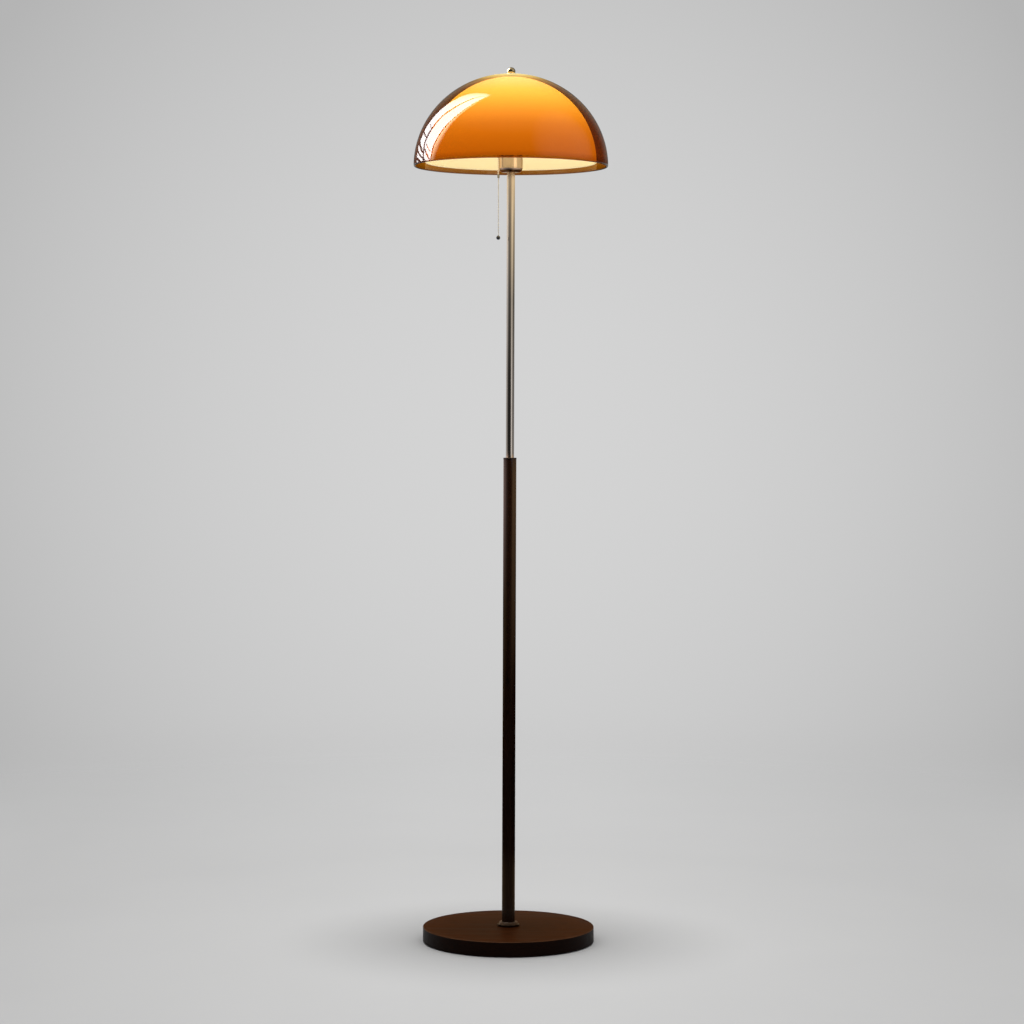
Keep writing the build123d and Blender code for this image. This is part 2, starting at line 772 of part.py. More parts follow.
# ---------------------------------------------------------------- bulb
def bulb_face(globe_radius, neck_radius, bottom):
    """Half of the envelope's section: globe, straight flank and neck, closed on the axis."""
    leave = radians(bulb_neck_angle)
    flank_run = (globe_radius * cos(leave) - neck_radius) / sin(leave)
    flank_end = globe_height - globe_radius * sin(leave) - flank_run * cos(leave)
    with BuildSketch() as outline:
        with BuildLine():
            globe = CenterArc((0, globe_height), globe_radius, -bulb_neck_angle, 90 + bulb_neck_angle)
            Polyline(
                globe @ 0,
                (neck_radius, flank_end),
                (neck_radius, bottom),
                (0, bottom),
                globe @ 1,
            )
        make_face()
    return outline.sketch


bulb_outside = bulb_face(bulb_dia / 2, bulb_neck_dia / 2, bulb_cap_top)
bulb_inside = bulb_face(bulb_dia / 2 - bulb_wall, bulb_neck_dia / 2 - bulb_wall, bulb_cap_top)
with BuildPart() as bulb_glass:
    with BuildSketch(Plane.XZ):
        add(bulb_outside)
        add(bulb_inside, mode=Mode.SUBTRACT)
    revolve(axis=Axis.Z)

with BuildPart() as bulb_cap:
    with BuildSketch(Plane.XY.offset(bulb_cap_bottom)):
        Circle(bulb_cap_dia / 2)
        Circle(bulb_cap_dia / 2 - bulb_thread_depth - bulb_cap_wall, mode=Mode.SUBTRACT)
    extrude(amount=bulb_cap_height)
    for turn in range(bulb_thread_count):
        with BuildSketch(Plane.XZ):
            with Locations((bulb_cap_dia / 2, bulb_cap_bottom + bulb_thread_pitch * (turn + 1))):
                Circle(bulb_thread_depth)
        revolve(axis=Axis.Z, mode=Mode.SUBTRACT)

with BuildPart() as bulb_insulator:
    with BuildSketch(Plane.XY.offset(bulb_bottom + bulb_contact_thickness)):
        Circle(bulb_contact_dia / 2)
    with BuildSketch(Plane.XY.offset(bulb_cap_bottom)):
        Circle(bulb_cap_dia / 2 - bulb_thread_depth)
    loft()

bulb_contact = ring(bulb_contact_dia, 0, bulb_bottom, bulb_contact_thickness)


# ---------------------------------------------------------------- harp
harp_bends = [harp_foot_bend, harp_side_bend, harp_side_bend, harp_top_bend]
with BuildPart() as harp:
    flare_top = harp_foot + harp_foot_height + harp_flare_height
    side_top = harp_wire_top - harp_crown_height
    with BuildLine(Plane.YZ):
        FilletPolyline(
            (-harp_foot_half_span, harp_foot),
            (-harp_foot_half_span, harp_foot + harp_foot_height),
            (-harp_half_width, flare_top),
            (-harp_half_width, side_top),
            (-harp_top_half_span, harp_wire_top),
            (harp_top_half_span, harp_wire_top),
            (harp_half_width, side_top),
            (harp_half_width, flare_top),
            (harp_foot_half_span, harp_foot + harp_foot_height),
            (harp_foot_half_span, harp_foot),
            radius=harp_bends + harp_bends[::-1],
        )
    with BuildSketch(Plane(origin=(0, -harp_foot_half_span, harp_foot))):
        Circle(harp_wire_dia / 2)
    sweep()
    with BuildSketch(Plane.XY.offset(boss_bottom)):
        Circle(harp_boss_dia / 2)
    extrude(amount=harp_boss_height)
    with BuildSketch(Plane.XY.offset(harp_seat_bottom)):
        Circle(harp_seat_dia / 2)
    extrude(amount=harp_seat_thickness)
    with BuildSketch(Plane.XY.offset(gasket_bottom)):
        Circle(stud_dia / 2)
    extrude(amount=-stud_in_boss, mode=Mode.SUBTRACT)

stud_bottom = gasket_bottom - stud_in_boss
stud_top = finial_foot + stud_in_finial
harp_stud = ring(stud_dia, 0, stud_bottom, stud_top - stud_bottom)

with BuildPart() as harp_ferrules:
    with BuildSketch(Plane.XY.offset(ferrule_bottom)):
        for side in (-1, 1):
            with Locations((0, side * harp_foot_half_span)):
                Circle(ferrule_dia / 2)
                Circle(ferrule_bore / 2, mode=Mode.SUBTRACT)
    extrude(amount=ferrule_length)


# ---------------------------------------------------------------- shades
outer_shade = dome(shade_radius, shade_rise, shade_wall, shade_rim_height)
inner_diffuser = dome(diffuser_radius, diffuser_rise, diffuser_wall, diffuser_rim_height)
diffuser_gasket = ring(gasket_dia, stud_dia + 2 * fit, gasket_bottom, gasket_thickness)
shade_spacer = ring(gasket_dia, stud_dia + 2 * fit, spacer_bottom, spacer_top - spacer_bottom)
finial_washer = ring(finial_washer_dia, stud_dia + 2 * fit, shade_top_seat, finial_washer_thickness)

with BuildPart() as finial:
    with Locations((0, 0, finial_centre)):
        Sphere(finial_dia / 2)
    split(bisect_by=Plane.XY.offset(finial_foot), keep=Keep.TOP)
    with BuildSketch(Plane.XY.offset(finial_foot)):
        Circle(stud_dia / 2 + fit)
    extrude(amount=stud_in_finial + fit, mode=Mode.SUBTRACT)


# ---------------------------------------------------------------- names and files
pieces = {
    "felt_pad": felt_pad,
    "bottom_plate": bottom_plate,
    "plate_screws": plate_screws,
    "base_disc": base_disc,
    "base_weight": base_weight,
    "cord_bushing": cord_bushing,
    "rod_washer": rod_washer,
    "rod_nut": rod_nut,
    "tie_rod": tie_rod,
    "collar_flange": collar_flange,
    "collar_ring": collar_ring,
    "lower_post": lower_post,
    "post_cap": post_cap,
    "pole_coupling": pole_coupling,
    "upper_pole": upper_pole,
    "pole_top_bush": pole_top_bush,
    "lamp_nipple": lamp_nipple,
    "socket_husk": socket_husk,
    "harp_saddle": harp_saddle,
    "harp_ferrules": harp_ferrules,
    "harp": harp,
    "harp_stud": harp_stud,
    "holder_cap": holder_cap,
    "holder_shell": holder_shell,
    "holder_liner": holder_liner,
    "switch_body": switch_body,
    "terminal_screws": terminal_screws,
    "centre_contact": centre_contact,
    "screw_shell": screw_shell,
    "switch_drum": switch_drum,
    "drum_pin": drum_pin,
    "drum_spring": drum_spring,
    "chain_nozzle": chain_nozzle,
    "chain_feed": chain_feed,
    "chain_head": chain_head,
    "chain_swivel": chain_swivel,
    "upper_chain": upper_chain,
    "chain_connector": chain_connector,
    "lower_chain": lower_chain,
    "pull_ball": pull_ball,
    "bulb_glass": bulb_glass,
    "bulb_cap": bulb_cap,
    "bulb_insulator": bulb_insulator,
    "bulb_contact": bulb_contact,
    "diffuser_gasket": diffuser_gasket,
    "inner_diffuser": inner_diffuser,
    "shade_spacer": shade_spacer,
    "outer_shade": outer_shade,
    "finial_washer": finial_washer,
    "finial": finial,
}

os.makedirs("parts", exist_ok=True)
for label, piece in pieces.items():
    piece.part.label = label
    export_step(piece.part, f"parts/{label}.step")
    print(label, round(piece.part.volume, 1))
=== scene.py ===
# %% [markdown]
# # A mushroom floor lamp
# A smoky amber dome stands over an opal dome on a slim brass pole. The lower half of the pole is a
# dark wooden post on a round wooden base. The measured solids are loaded first, and they never move.
# Blender adds what a measured solid can't carry: light, finishes, and the pieces whose surface has
# to be finer than the solids are. Lengths are in metres, and only the lens is in millimetres.

# %% Load the measured lamp
import bpy
import bmesh
import math
from mathutils import Matrix, Vector


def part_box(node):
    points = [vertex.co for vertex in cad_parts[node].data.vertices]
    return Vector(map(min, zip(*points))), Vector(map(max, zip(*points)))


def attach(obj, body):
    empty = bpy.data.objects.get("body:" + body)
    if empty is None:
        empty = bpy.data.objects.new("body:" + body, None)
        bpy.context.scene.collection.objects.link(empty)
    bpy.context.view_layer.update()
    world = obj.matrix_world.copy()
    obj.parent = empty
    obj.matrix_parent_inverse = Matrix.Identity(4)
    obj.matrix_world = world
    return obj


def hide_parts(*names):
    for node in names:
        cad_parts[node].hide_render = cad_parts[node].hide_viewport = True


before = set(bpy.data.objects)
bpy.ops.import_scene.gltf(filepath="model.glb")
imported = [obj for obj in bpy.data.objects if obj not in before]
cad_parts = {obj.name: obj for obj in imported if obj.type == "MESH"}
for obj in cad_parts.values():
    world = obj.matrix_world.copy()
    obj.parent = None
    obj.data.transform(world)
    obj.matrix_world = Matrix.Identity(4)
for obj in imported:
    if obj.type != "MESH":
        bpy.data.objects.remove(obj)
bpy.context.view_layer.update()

# %% [markdown]
# ## The camera
# The photograph is taken from about five metres away with a long lens, from a little under a metre
# high. A long lens keeps the pole straight and shows the inside of the shade only as a thin ellipse.
# Two things could be changed to frame the lamp: the lens' shift or the camera's tilt. Tilt is used
# here, because it is what a photographer on a tripod does, and it frames the lamp without a shift.

# %% Place the camera
focal_length, sensor_width = 95.54, 36.0
lens = bpy.data.cameras.new("camera")
lens.lens = focal_length
lens.sensor_width = sensor_width
camera = bpy.data.objects.new("camera", lens)
bpy.context.scene.collection.objects.link(camera)
camera_place = Vector((0.0041, -4.907, 0.9547))
tilt_down = math.radians(2.04)
lean = math.radians(0.195)
camera.matrix_world = (
    Matrix.Translation(camera_place)
    @ Matrix.Rotation(math.pi / 2 - tilt_down, 4, "X")
    @ Matrix.Rotation(lean, 4, "Z")
)
bpy.context.scene.camera = camera
bpy.context.scene.view_settings.view_transform = "Standard"
print("camera distance:", round(camera_place.length, 3))

# %% [markdown]
# ## Small helpers for node graphs
# Most colours below run over some measure: a height, a direction, a patch of noise. Map Range turns
# a measure into a share from 0 to 1, and a Color Ramp turns the share into a colour. They could be
# wired by hand each time, but a few short functions keep the later cells readable.

# %% Turn a measure into a colour


def grey(level):
    """One grey as a colour with alpha."""
    return (level, level, level, 1.0)


def share_of(tree, value, low, high, curve="LINEAR"):
    """A value that runs from low to high, as a share from 0 to 1."""
    span = tree.nodes.new("ShaderNodeMapRange")
    span.interpolation_type = curve
    span.inputs["From Min"].default_value = low
    span.inputs["From Max"].default_value = high
    tree.links.new(value, span.inputs["Value"])
    return span.outputs["Result"]


def ramp_of(tree, share, stops):
    """A colour for each share, from (place, colour) stops."""
    ramp = tree.nodes.new("ShaderNodeValToRGB")
    marks = ramp.color_ramp.elements
    while len(marks) < len(stops):
        marks.new(0.5)
    for mark, (place, colour) in zip(marks, stops):
        mark.position = place
        mark.color = colour if len(colour) == 4 else (*colour, 1.0)
    tree.links.new(share, ramp.inputs["Fac"])
    return ramp.outputs["Color"]


print("one grey:", grey(0.5))

# %% Add and multiply


def maths(tree, kind, first, second, node_type="ShaderNodeMath"):
    """One sum, product or quotient. Either side is a socket or a plain number."""
    node = tree.nodes.new(node_type)
    node.operation = kind
    for socket, value in zip(node.inputs, (first, second)):
        if isinstance(value, float):
            socket.default_value = value
        else:
            tree.links.new(value, socket)
    return node.outputs[0]


def tinted(tree, colour, tint):
    """Two colours multiplied, channel by channel."""
    return maths(tree, "MULTIPLY", colour, tint, "ShaderNodeVectorMath")


print("either side of a sum can be a socket or a number")

# %% Take vectors apart and mix shaders


def length_of(tree, vector):
    """How long a vector is."""
    node = tree.nodes.new("ShaderNodeVectorMath")
    node.operation = "LENGTH"
    tree.links.new(vector, node.inputs[0])
    return node.outputs["Value"]


def parts_of(tree, vector):
    """The X, Y and Z of a vector."""
    split = tree.nodes.new("ShaderNodeSeparateXYZ")
    tree.links.new(vector, split.inputs[0])
    return split.outputs["X"], split.outputs["Y"], split.outputs["Z"]


def choose(tree, share, first, second):
    """One shader where the share is 0 and another where it is 1."""
    mix = tree.nodes.new("ShaderNodeMixShader")
    for socket, value in zip(mix.inputs, (share, first, second)):
        tree.links.new(value, socket)
    return mix.outputs[0]


print("node helpers ready")

# %% [markdown]
# ## A grey studio all round
# The lamp stands in front of a plain light grey backdrop, a little brighter in its middle. It could
# be a curved sheet behind the lamp, but then the lamp could not be looked at from behind. A world is
# there from every side, so the backdrop is a world colour that depends only on direction.
# The world does three jobs, and Light Path tells them apart. What the camera sees, also through the
# glass, is the backdrop. What a shiny surface reflects is a room with lit and dark parts, which is
# what gives brass its dark bands. Everything else gets soft light, most of it from above.

# %% Open an empty world
studio = bpy.data.worlds.new("studio")
studio.use_nodes = True
bpy.context.scene.world = studio
room = studio.node_tree
room.nodes.clear()
direction = room.nodes.new("ShaderNodeTexCoord").outputs["Generated"]
toward_right, toward_back, upward = parts_of(room, direction)


def level_over(value, low, high, stops):
    """A grey of the room over a value that runs from low to high, from (value, level) stops."""
    places = [((place - low) / (high - low), grey(level)) for place, level in stops]
    return ramp_of(room, share_of(room, value, low, high), places)


backdrop_colour = level_over(toward_back, 0.9738, 1.0, [(0.9738, 0.460), (1.0, 0.655)])
print("world:", studio.name)

# %% [markdown]
# ## The room that shiny parts mirror
# A polished post or dome is a picture of the room round it. Four parts of that room show in the
# lamp: the walls at eye level, bright behind the lamp and dark behind the camera, a ceiling that
# gets lighter overhead, a broad pale panel at the right, and the lit corners beside the backdrop.
# Modelled walls would stand in the way of other views. Here each part is a level over a direction,
# and the parts are added.

# %% Add up the room
low_walls = level_over(
    toward_back, -1.0, 1.0,
    [(-1.0, 0.02), (-0.5, 0.02), (0.0, 0.08), (0.4, 0.14), (0.7, 0.36), (0.96, 0.62)],
)
eye_level = level_over(upward, -0.2, 0.2, [(-0.13, 0.0), (-0.03, 1.0), (0.07, 1.0), (0.10, 0.0)])
dim_ceiling = level_over(upward, -1.0, 1.0, [(0.0, 0.015), (0.6, 0.04), (1.0, 0.40)])
room_level = maths(room, "ADD", maths(room, "MULTIPLY", low_walls, eye_level), dim_ceiling)

toward_panel = room.nodes.new("ShaderNodeVectorMath")
toward_panel.operation = "DOT_PRODUCT"
panel_direction = (0.90, -0.30, 0.31)
toward_panel.inputs[1].default_value = panel_direction
room.links.new(direction, toward_panel.inputs[0])
panel_glow = level_over(toward_panel.outputs["Value"], 0.7, 1.0, [(0.72, 0.0), (0.84, 0.26), (0.94, 0.40)])
panel_foot = level_over(upward, 0.0, 0.3, [(0.09, 0.0), (0.18, 1.0)])
room_level = maths(room, "ADD", room_level, maths(room, "MULTIPLY", panel_glow, panel_foot))

to_either_side = maths(room, "MULTIPLY", toward_right, toward_right)
corner_side = level_over(to_either_side, 0.0, 1.0, [(0.003, 0.0), (0.02, 0.13), (0.20, 0.10), (0.40, 0.0)])
corner_back = level_over(toward_back, 0.0, 1.0, [(0.60, 0.0), (0.85, 1.0)])
corner_rise = level_over(upward, 0.0, 1.0, [(0.085, 0.0), (0.12, 1.0), (0.45, 1.0), (0.70, 0.3)])
lit_corners = maths(room, "MULTIPLY", maths(room, "MULTIPLY", corner_side, corner_back), corner_rise)
room_level = maths(room, "ADD", room_level, lit_corners)
print("room nodes:", len(room.nodes))

# %% Join the three jobs


def background(colour):
    """A world shader of one colour."""
    node = room.nodes.new("ShaderNodeBackground")
    room.links.new(colour, node.inputs["Color"])
    return node.outputs[0]


sky_level = level_over(upward, -1.0, 1.0, [(-0.1, 0.08), (0.1, 0.12), (0.5, 0.34), (1.0, 0.95)])
soft_sky = background(sky_level)
path = room.nodes.new("ShaderNodeLightPath")
seen = maths(room, "MAXIMUM", path.outputs["Is Camera Ray"], path.outputs["Is Transmission Ray"])
shiny_or_soft = choose(room, path.outputs["Is Glossy Ray"], soft_sky, background(room_level))
world_surface = choose(room, seen, shiny_or_soft, background(backdrop_colour))
world_output = room.nodes.new("ShaderNodeOutputWorld")
room.links.new(world_surface, world_output.inputs["Surface"])
print("world nodes:", len(room.nodes))

# %% [markdown]
# ## The floor
# The floor is pale and plain and carries the soft shadow of the base. A sharp horizon would cut the
# picture in two, so the floor is a wide disc that fades into the backdrop with distance. The fade
# reads the floor's own coordinates, so it stays in place when the camera moves.

# %% Cut the floor disc
floor_radius = 9.0
floor_mesh = bpy.data.meshes.new("floor")
floor_edit = bmesh.new()
bmesh.ops.create_circle(floor_edit, cap_ends=True, segments=96, radius=floor_radius)
floor_edit.to_mesh(floor_mesh)
floor_edit.free()
floor = bpy.data.objects.new("floor", floor_mesh)
bpy.context.scene.collection.objects.link(floor)
print("floor radius:", floor_radius)

# %% [markdown]
# ## The floor's paint
# The pale paper is painted a little darker near the lamp and toward both sides, as painted shade where
# the overhead light falls off, and it is very slightly clouded. More lamps could make such a pool of
# light, but each would add a shadow of its own. Three ramps multiplied do it: one of painted light over
# the distance from the lamp, one of noise, and one of painted shade over the distance to either side.

# %% Paint the floor
floor_paint = bpy.data.materials.new("pale_floor")
floor_paint.use_nodes = True
ground = floor_paint.node_tree
floor_shader = ground.nodes["Principled BSDF"]
floor_shader.inputs["Roughness"].default_value = 0.95
floor_shader.inputs["Specular IOR Level"].default_value = 0.0
floor_place = ground.nodes.new("ShaderNodeTexCoord").outputs["Object"]
from_lamp = length_of(ground, floor_place)
# Painted light: darker near the lamp and lighter further out, for the overhead light's falloff.
floor_painted_light = ramp_of(
    ground, maths(ground, "DIVIDE", from_lamp, floor_radius),
    [(0.0, grey(0.60)), (0.06, grey(0.58)), (0.11, grey(0.575)), (0.17, grey(0.61)), (0.3, grey(0.68))],
)
floor_grain = ground.nodes.new("ShaderNodeTexNoise")
floor_grain.inputs["Scale"].default_value = 3.0
floor_grain.inputs["Detail"].default_value = 5.0
ground.links.new(floor_place, floor_grain.inputs["Vector"])
floor_cloud = ramp_of(ground, floor_grain.outputs["Fac"], [(0.3, grey(0.985)), (0.7, grey(1.0))])
to_the_right = parts_of(ground, floor_place)[0]
# Painted shade: the floor is darker toward both sides.
floor_painted_side_shade = ramp_of(
    ground, maths(ground, "MULTIPLY", to_the_right, to_the_right),
    [(0.03, grey(1.0)), (0.12, grey(0.975)), (0.34, grey(0.94)), (0.66, grey(0.90)), (1.0, grey(0.87))],
)
floor_colour = tinted(ground, tinted(ground, floor_painted_light, floor_cloud), floor_painted_side_shade)
ground.links.new(floor_colour, floor_shader.inputs["Base Color"])
print("floor nodes:", len(ground.nodes))

# %% Let the floor fade out
fade_start, fade_end = 0.7, 4.0
floor_fade = share_of(ground, from_lamp, fade_start, fade_end, "SMOOTHERSTEP")
floor_clear = ground.nodes.new("ShaderNodeBsdfTransparent").outputs[0]
floor_surface = choose(ground, floor_fade, floor_shader.outputs[0], floor_clear)
ground.links.new(floor_surface, ground.nodes["Material Output"].inputs["Surface"])
floor_mesh.materials.append(floor_paint)
print("the floor fades out from", fade_start, "to", fade_end)

# %% [markdown]
# ## One soft light
# A large round light overhead gives the soft shadow round the base, and the world fills in the rest.
# A second light from the front could fill the shadow, but it would flatten the wood. The light is
# kept out of mirror reflections, because a glossy dome would show it as a white disc. What the brass
# and the dome mirror is made apart, as bright cards.

# %% Hang the light


def hang_light(name, shape, size, power, place, aim, colour=(1.0, 1.0, 1.0), mirrored=False):
    """An area light that shines at a point. A mirrored one is seen only in reflections, others never."""
    lamp = bpy.data.lights.new(name, "AREA")
    lamp.shape = shape
    lamp.size, lamp.size_y = size
    lamp.energy = power
    lamp.color = colour
    holder = bpy.data.objects.new(name, lamp)
    bpy.context.scene.collection.objects.link(holder)
    holder.location = place
    holder.rotation_mode = "QUATERNION"
    holder.rotation_quaternion = (Vector(aim) - Vector(place)).to_track_quat("-Z", "Y")
    holder.visible_camera = False
    holder.visible_transmission = False
    holder.visible_glossy = mirrored
    holder.visible_diffuse = not mirrored
    return holder


light_width, light_power, light_height = 1.1, 137.0, 5.2
overhead = hang_light(
    "overhead_light", "DISK", (light_width, light_width), light_power, (0.0, 0.0, light_height),
    aim=(0.0, 0.0, 0.0),
)
print("light overhead at", overhead.location.z)

# %% [markdown]
# ## Cards that the shiny parts mirror
# Metal and glass are drawn by what stands round them. A window high on the left behind the lamp puts
# the white crescent on the dome, and pale and dark upright bands round the pole draw its stripes. A
# point light would only give a dot. So each is a card, a sheet of mesh that stores its own glow at
# every point, and only reflections see it: it casts no light and no shadow.

# %% Make a glowing sheet


def glowing_sheet(name, rows, glows):
    """A sheet of rows of points, with its own coloured glow at each point."""
    mesh = bpy.data.meshes.new(name)
    width = len(rows[0])
    faces = [
        (i * width + j, i * width + j + 1, (i + 1) * width + j + 1, (i + 1) * width + j)
        for i in range(len(rows) - 1) for j in range(width - 1)
    ]
    mesh.from_pydata([point for row in rows for point in row], [], faces)
    stored = mesh.attributes.new("glow", "FLOAT_COLOR", "POINT")
    stored.data.foreach_set("color", [part for row in glows for glow in row for part in (*glow, 1.0)])
    paper = bpy.data.materials.new(name)
    paper.use_nodes = True
    tree = paper.node_tree
    tree.nodes.clear()
    brightness = tree.nodes.new("ShaderNodeAttribute")
    brightness.attribute_name = "glow"
    lit = tree.nodes.new("ShaderNodeEmission")
    tree.links.new(brightness.outputs["Color"], lit.inputs["Color"])
    end = tree.nodes.new("ShaderNodeOutputMaterial")
    tree.links.new(lit.outputs[0], end.inputs["Surface"])
    mesh.materials.append(paper)
    piece = bpy.data.objects.new(name, mesh)
    bpy.context.scene.collection.objects.link(piece)
    piece.visible_camera = False
    piece.visible_diffuse = False
    piece.visible_shadow = False
    piece.visible_transmission = False
    piece.visible_volume_scatter = False
    return piece


print("cards can be cut")

# %% [markdown]
# ## Where a card stands
# To put a highlight at one place on the dome, it helps to think in angles seen from the shade: a
# compass angle, 0 toward the camera and plus to the right, and a height angle above level. A card is
# a patch of a large sphere between two edges given in those angles, so its mirror image on the dome
# can be worked out. Plain flat rectangles would be simpler, but their image bends on a dome.

# %% Place a card by angles
shade_middle = Vector((0.0, 0.0, 1.47))


def card_point(compass, rise, reach):
    """A point seen from the shade, by its compass angle and its height angle."""
    a, e = math.radians(compass), math.radians(rise)
    step = Vector((math.sin(a) * math.cos(e), -math.cos(a) * math.cos(e), math.sin(e)))
    return shade_middle + reach * step


def along(values, share):
    """A value part of the way along a list of numbers or of points."""
    place = share * (len(values) - 1)
    i = min(int(place), len(values) - 2)
    t = place - i
    first, second = values[i], values[i + 1]
    if isinstance(first, tuple):
        return tuple(a * (1 - t) + b * t for a, b in zip(first, second))
    return first * (1 - t) + second * t


print("straight ahead at 1 m:", [round(v, 2) for v in card_point(0.0, 0.0, 1.0)])

# %% Cut a card between two edges
white = (1.0, 1.0, 1.0)
card_rows, card_columns = 40, 8


def card(name, left_edge, right_edge, left_glow, right_glow, reach=2.6, tint=white):
    """A glowing patch between two edges of (compass, rise) points, with a glow along each edge."""
    rows, glows = [], []
    across = [j / card_columns for j in range(card_columns + 1)]
    for i in range(card_rows + 1):
        up = i / card_rows
        ends = [along(left_edge, up), along(right_edge, up)]
        edge_glows = [along(left_glow, up), along(right_glow, up)]
        rows.append([card_point(*along(ends, t), reach) for t in across])
        glows.append([[c * along(edge_glows, t) for c in tint] for t in across])
    return glowing_sheet(name, rows, glows)


print("a card has", card_rows * card_columns, "faces")

# %% [markdown]
# ## The window
# The crescent on the dome is the image of a tall window: two panes with a bar between them, the
# jamb, and a linen curtain that fades out beside it. Its low end is crossed by dark strips, like a
# half-drawn blind. Each edge is a short list of angles from the sill up to the point where the image
# comes to a tip. The bar shares its edges with both panes, so that they meet exactly, and the jamb is
# a dark gap between the near pane and the curtain.

# %% Draw the window's edges
window_tip = (-117.0, 74.2)
window_far_side = [
    (-145, 4.0), (-146, 6.2), (-148, 8.5), (-147.6, 10.8), (-145.6, 13.4), (-145.6, 17.7), (-143.8, 23.4),
    (-142.4, 30.9), (-140.5, 38.8), (-139.7, 48.8), (-134.9, 59.8), (-128.2, 68.1), window_tip,
]
window_bar = [
    (-123.2, 3.2), (-124.4, 6.7), (-125.6, 9.2), (-128.6, 14.4), (-128.3, 19.6), (-125.6, 26.3),
    (-124.2, 34.4), (-119.3, 44.6), (-118.4, 53.0), (-118.6, 59.0), (-117.4, 66.7), window_tip,
]
window_jamb = [
    (-106.8, 3.0), (-106.0, 7.4), (-105.8, 9.9), (-105.1, 16.5), (-102.9, 23.2), (-100.8, 30.5),
    (-98.8, 38.1), (-96.1, 48.5), (-97.2, 57.3), (-102.3, 65.9), (-110.5, 71.1), window_tip,
]
curtain_side = [
    (-98.9, 2.5), (-97.5, 7.4), (-95.3, 12.7), (-92.8, 20.8), (-92.1, 30.5), (-91.7, 42.6), (-92.0, 53.0),
    (-95.4, 62.4), (-102.1, 69.1), (-115.7, 74.3),
]
print("window edges:", len(window_far_side), len(window_bar), len(window_jamb), len(curtain_side))

# %% Light the window


def beside(edge, step):
    """An edge moved sideways by some degrees of compass."""
    return [(compass + step, rise) for compass, rise in edge]


half_bar, jamb_gap, curtain_gap = 1.7, 1.1, 1.0
far_glow = [3, 3, 3, 3.2, 3.5, 4, 4.6, 5, 4.5, 3.5, 3, 2.5, 2]
bar_glow = [8, 8, 8, 7.5, 7.5, 8, 9, 10.5, 12, 12, 11, 5]
jamb_glow = [13, 13, 13, 13.5, 14, 14.5, 15, 15, 14, 12, 9, 4]
curtain_glow = [5, 6, 8, 11, 13, 14, 14, 11, 6, 2]
bar_paper = [0.12, 0.12, 0.12, 0.12, 0.12, 0.12, 0.3, 0.8, 1.6, 2.2, 2.6, 3]
linen = (1.0, 0.88, 0.58)
bar_left, bar_right = beside(window_bar, -half_bar), beside(window_bar, half_bar)
card("window_pane_far", window_far_side, bar_left, far_glow, bar_glow)
card("window_pane_near", bar_right, beside(window_jamb, -jamb_gap), bar_glow, jamb_glow)
card("window_bar", bar_left, bar_right, bar_paper, bar_paper)
card(
    "window_curtain", beside(window_jamb, curtain_gap), curtain_side, curtain_glow, [0.0, 0.0], tint=linen,
)
print("window lit up to", max(jamb_glow))

# %% Draw the dark strips
blind_reach, blind_glow = 2.5, [0.15, 0.15]
blinds = [
    ([(-139.8, 22.3), (-128.6, 23.2)], [(-138.0, 23.0), (-127.0, 23.7)]),
    ([(-149.9, 15.0), (-141.9, 16.3), (-131.6, 17.1)], [(-143.7, 16.8), (-136.8, 17.6), (-127.3, 17.9)]),
    ([(-154.0, 10.5), (-141.0, 10.6), (-130.5, 8.8)], [(-144.5, 12.3), (-134.0, 11.5), (-124.8, 9.1)]),
    (
        [(-157.1, 8.0), (-140.6, 7.6), (-127.7, 6.0), (-117.3, 3.9)],
        [(-148.0, 9.3), (-134.4, 8.0), (-122.8, 6.1), (-113.3, 3.8)],
    ),
    ([(-155.5, 5.4), (-142.3, 4.8), (-126.8, 3.0)], [(-141.7, 6.1), (-131.8, 4.9), (-119.4, 2.9)]),
    ([(-126.4, 11.6), (-118.3, 8.7), (-110.5, 5.1)], [(-122.6, 11.8), (-114.8, 8.7), (-107.4, 5.0)]),
    ([(-124.3, 14.6), (-109.8, 10.5)], [(-122.5, 15.0), (-108.3, 10.8)]),
]
for number, (left, right) in enumerate(blinds):
    card("blind_%d" % (number + 1), left, right, blind_glow, blind_glow, blind_reach)
print("dark strips:", len(blinds))

# %% [markdown]
# ## Bands round the pole
# Brass and lacquer mirror the whole room in a narrow upright strip, and from the post's foot to the
# shade that room changes: brown and dim low down, cool halfway, warm near the lit shade. Many small
# cards could make those bands. One sheet round the pole does it with fewer words: at each height it
# has a row of glows, one for each compass angle, and two tints, for its left and its right half.

# %% Stand a sheet round the pole


def standing_sheet(name, reach, compasses, levels):
    """A sheet round the pole: at each height a left tint, a right tint and a row of glows."""
    rows, glows = [], []
    turn = [math.radians(c) for c in compasses]
    for height, left_tint, right_tint, row in levels:
        rows.append([(reach * math.sin(a), -reach * math.cos(a), height) for a in turn])
        tints = [left_tint if compass < 0 else right_tint for compass in compasses]
        glows.append([[c * glow for c in tint] for glow, tint in zip(row, tints)])
    return glowing_sheet(name, rows, glows)


compasses = [-178, -140, -112, -87, -66, -53, -24, 4, 24, 32, 41, 48, 62, 80, 99, 140, 178]
unlit = [0.0] * len(compasses)
foot = [
    0.30, 0.22, 0.22, 0.20, 0.20, 0.15, 0.12, 0.12, 0.12, 0.12, 0.12, 0.12, 0.15, 0.20, 0.22, 0.25, 0.30,
]
post_low = [
    0.10, 0.13, 0.10, 0.03, 0.02, 0.0, 0.0, 0.0, 0.03, 0.07, 0.07, 0.03, 0.0, 0.0, 0.0, 0.0, 0.0,
]
post_middle = [
    0.10, 0.12, 0.16, 0.37, 0.24, 0.13, 0.0, 0.03, 0.13, 0.20, 0.38, 0.47, 0.53, 0.47, 0.36, 0.06, 0.05,
]
post_top = [
    0.70, 0.90, 1.20, 1.60, 0.75, 0.30, 0.05, 0.0, 0.03, 0.10, 0.55, 0.85, 1.20, 1.00, 0.65, 0.35, 0.20,
]
print("compass angles:", len(compasses))

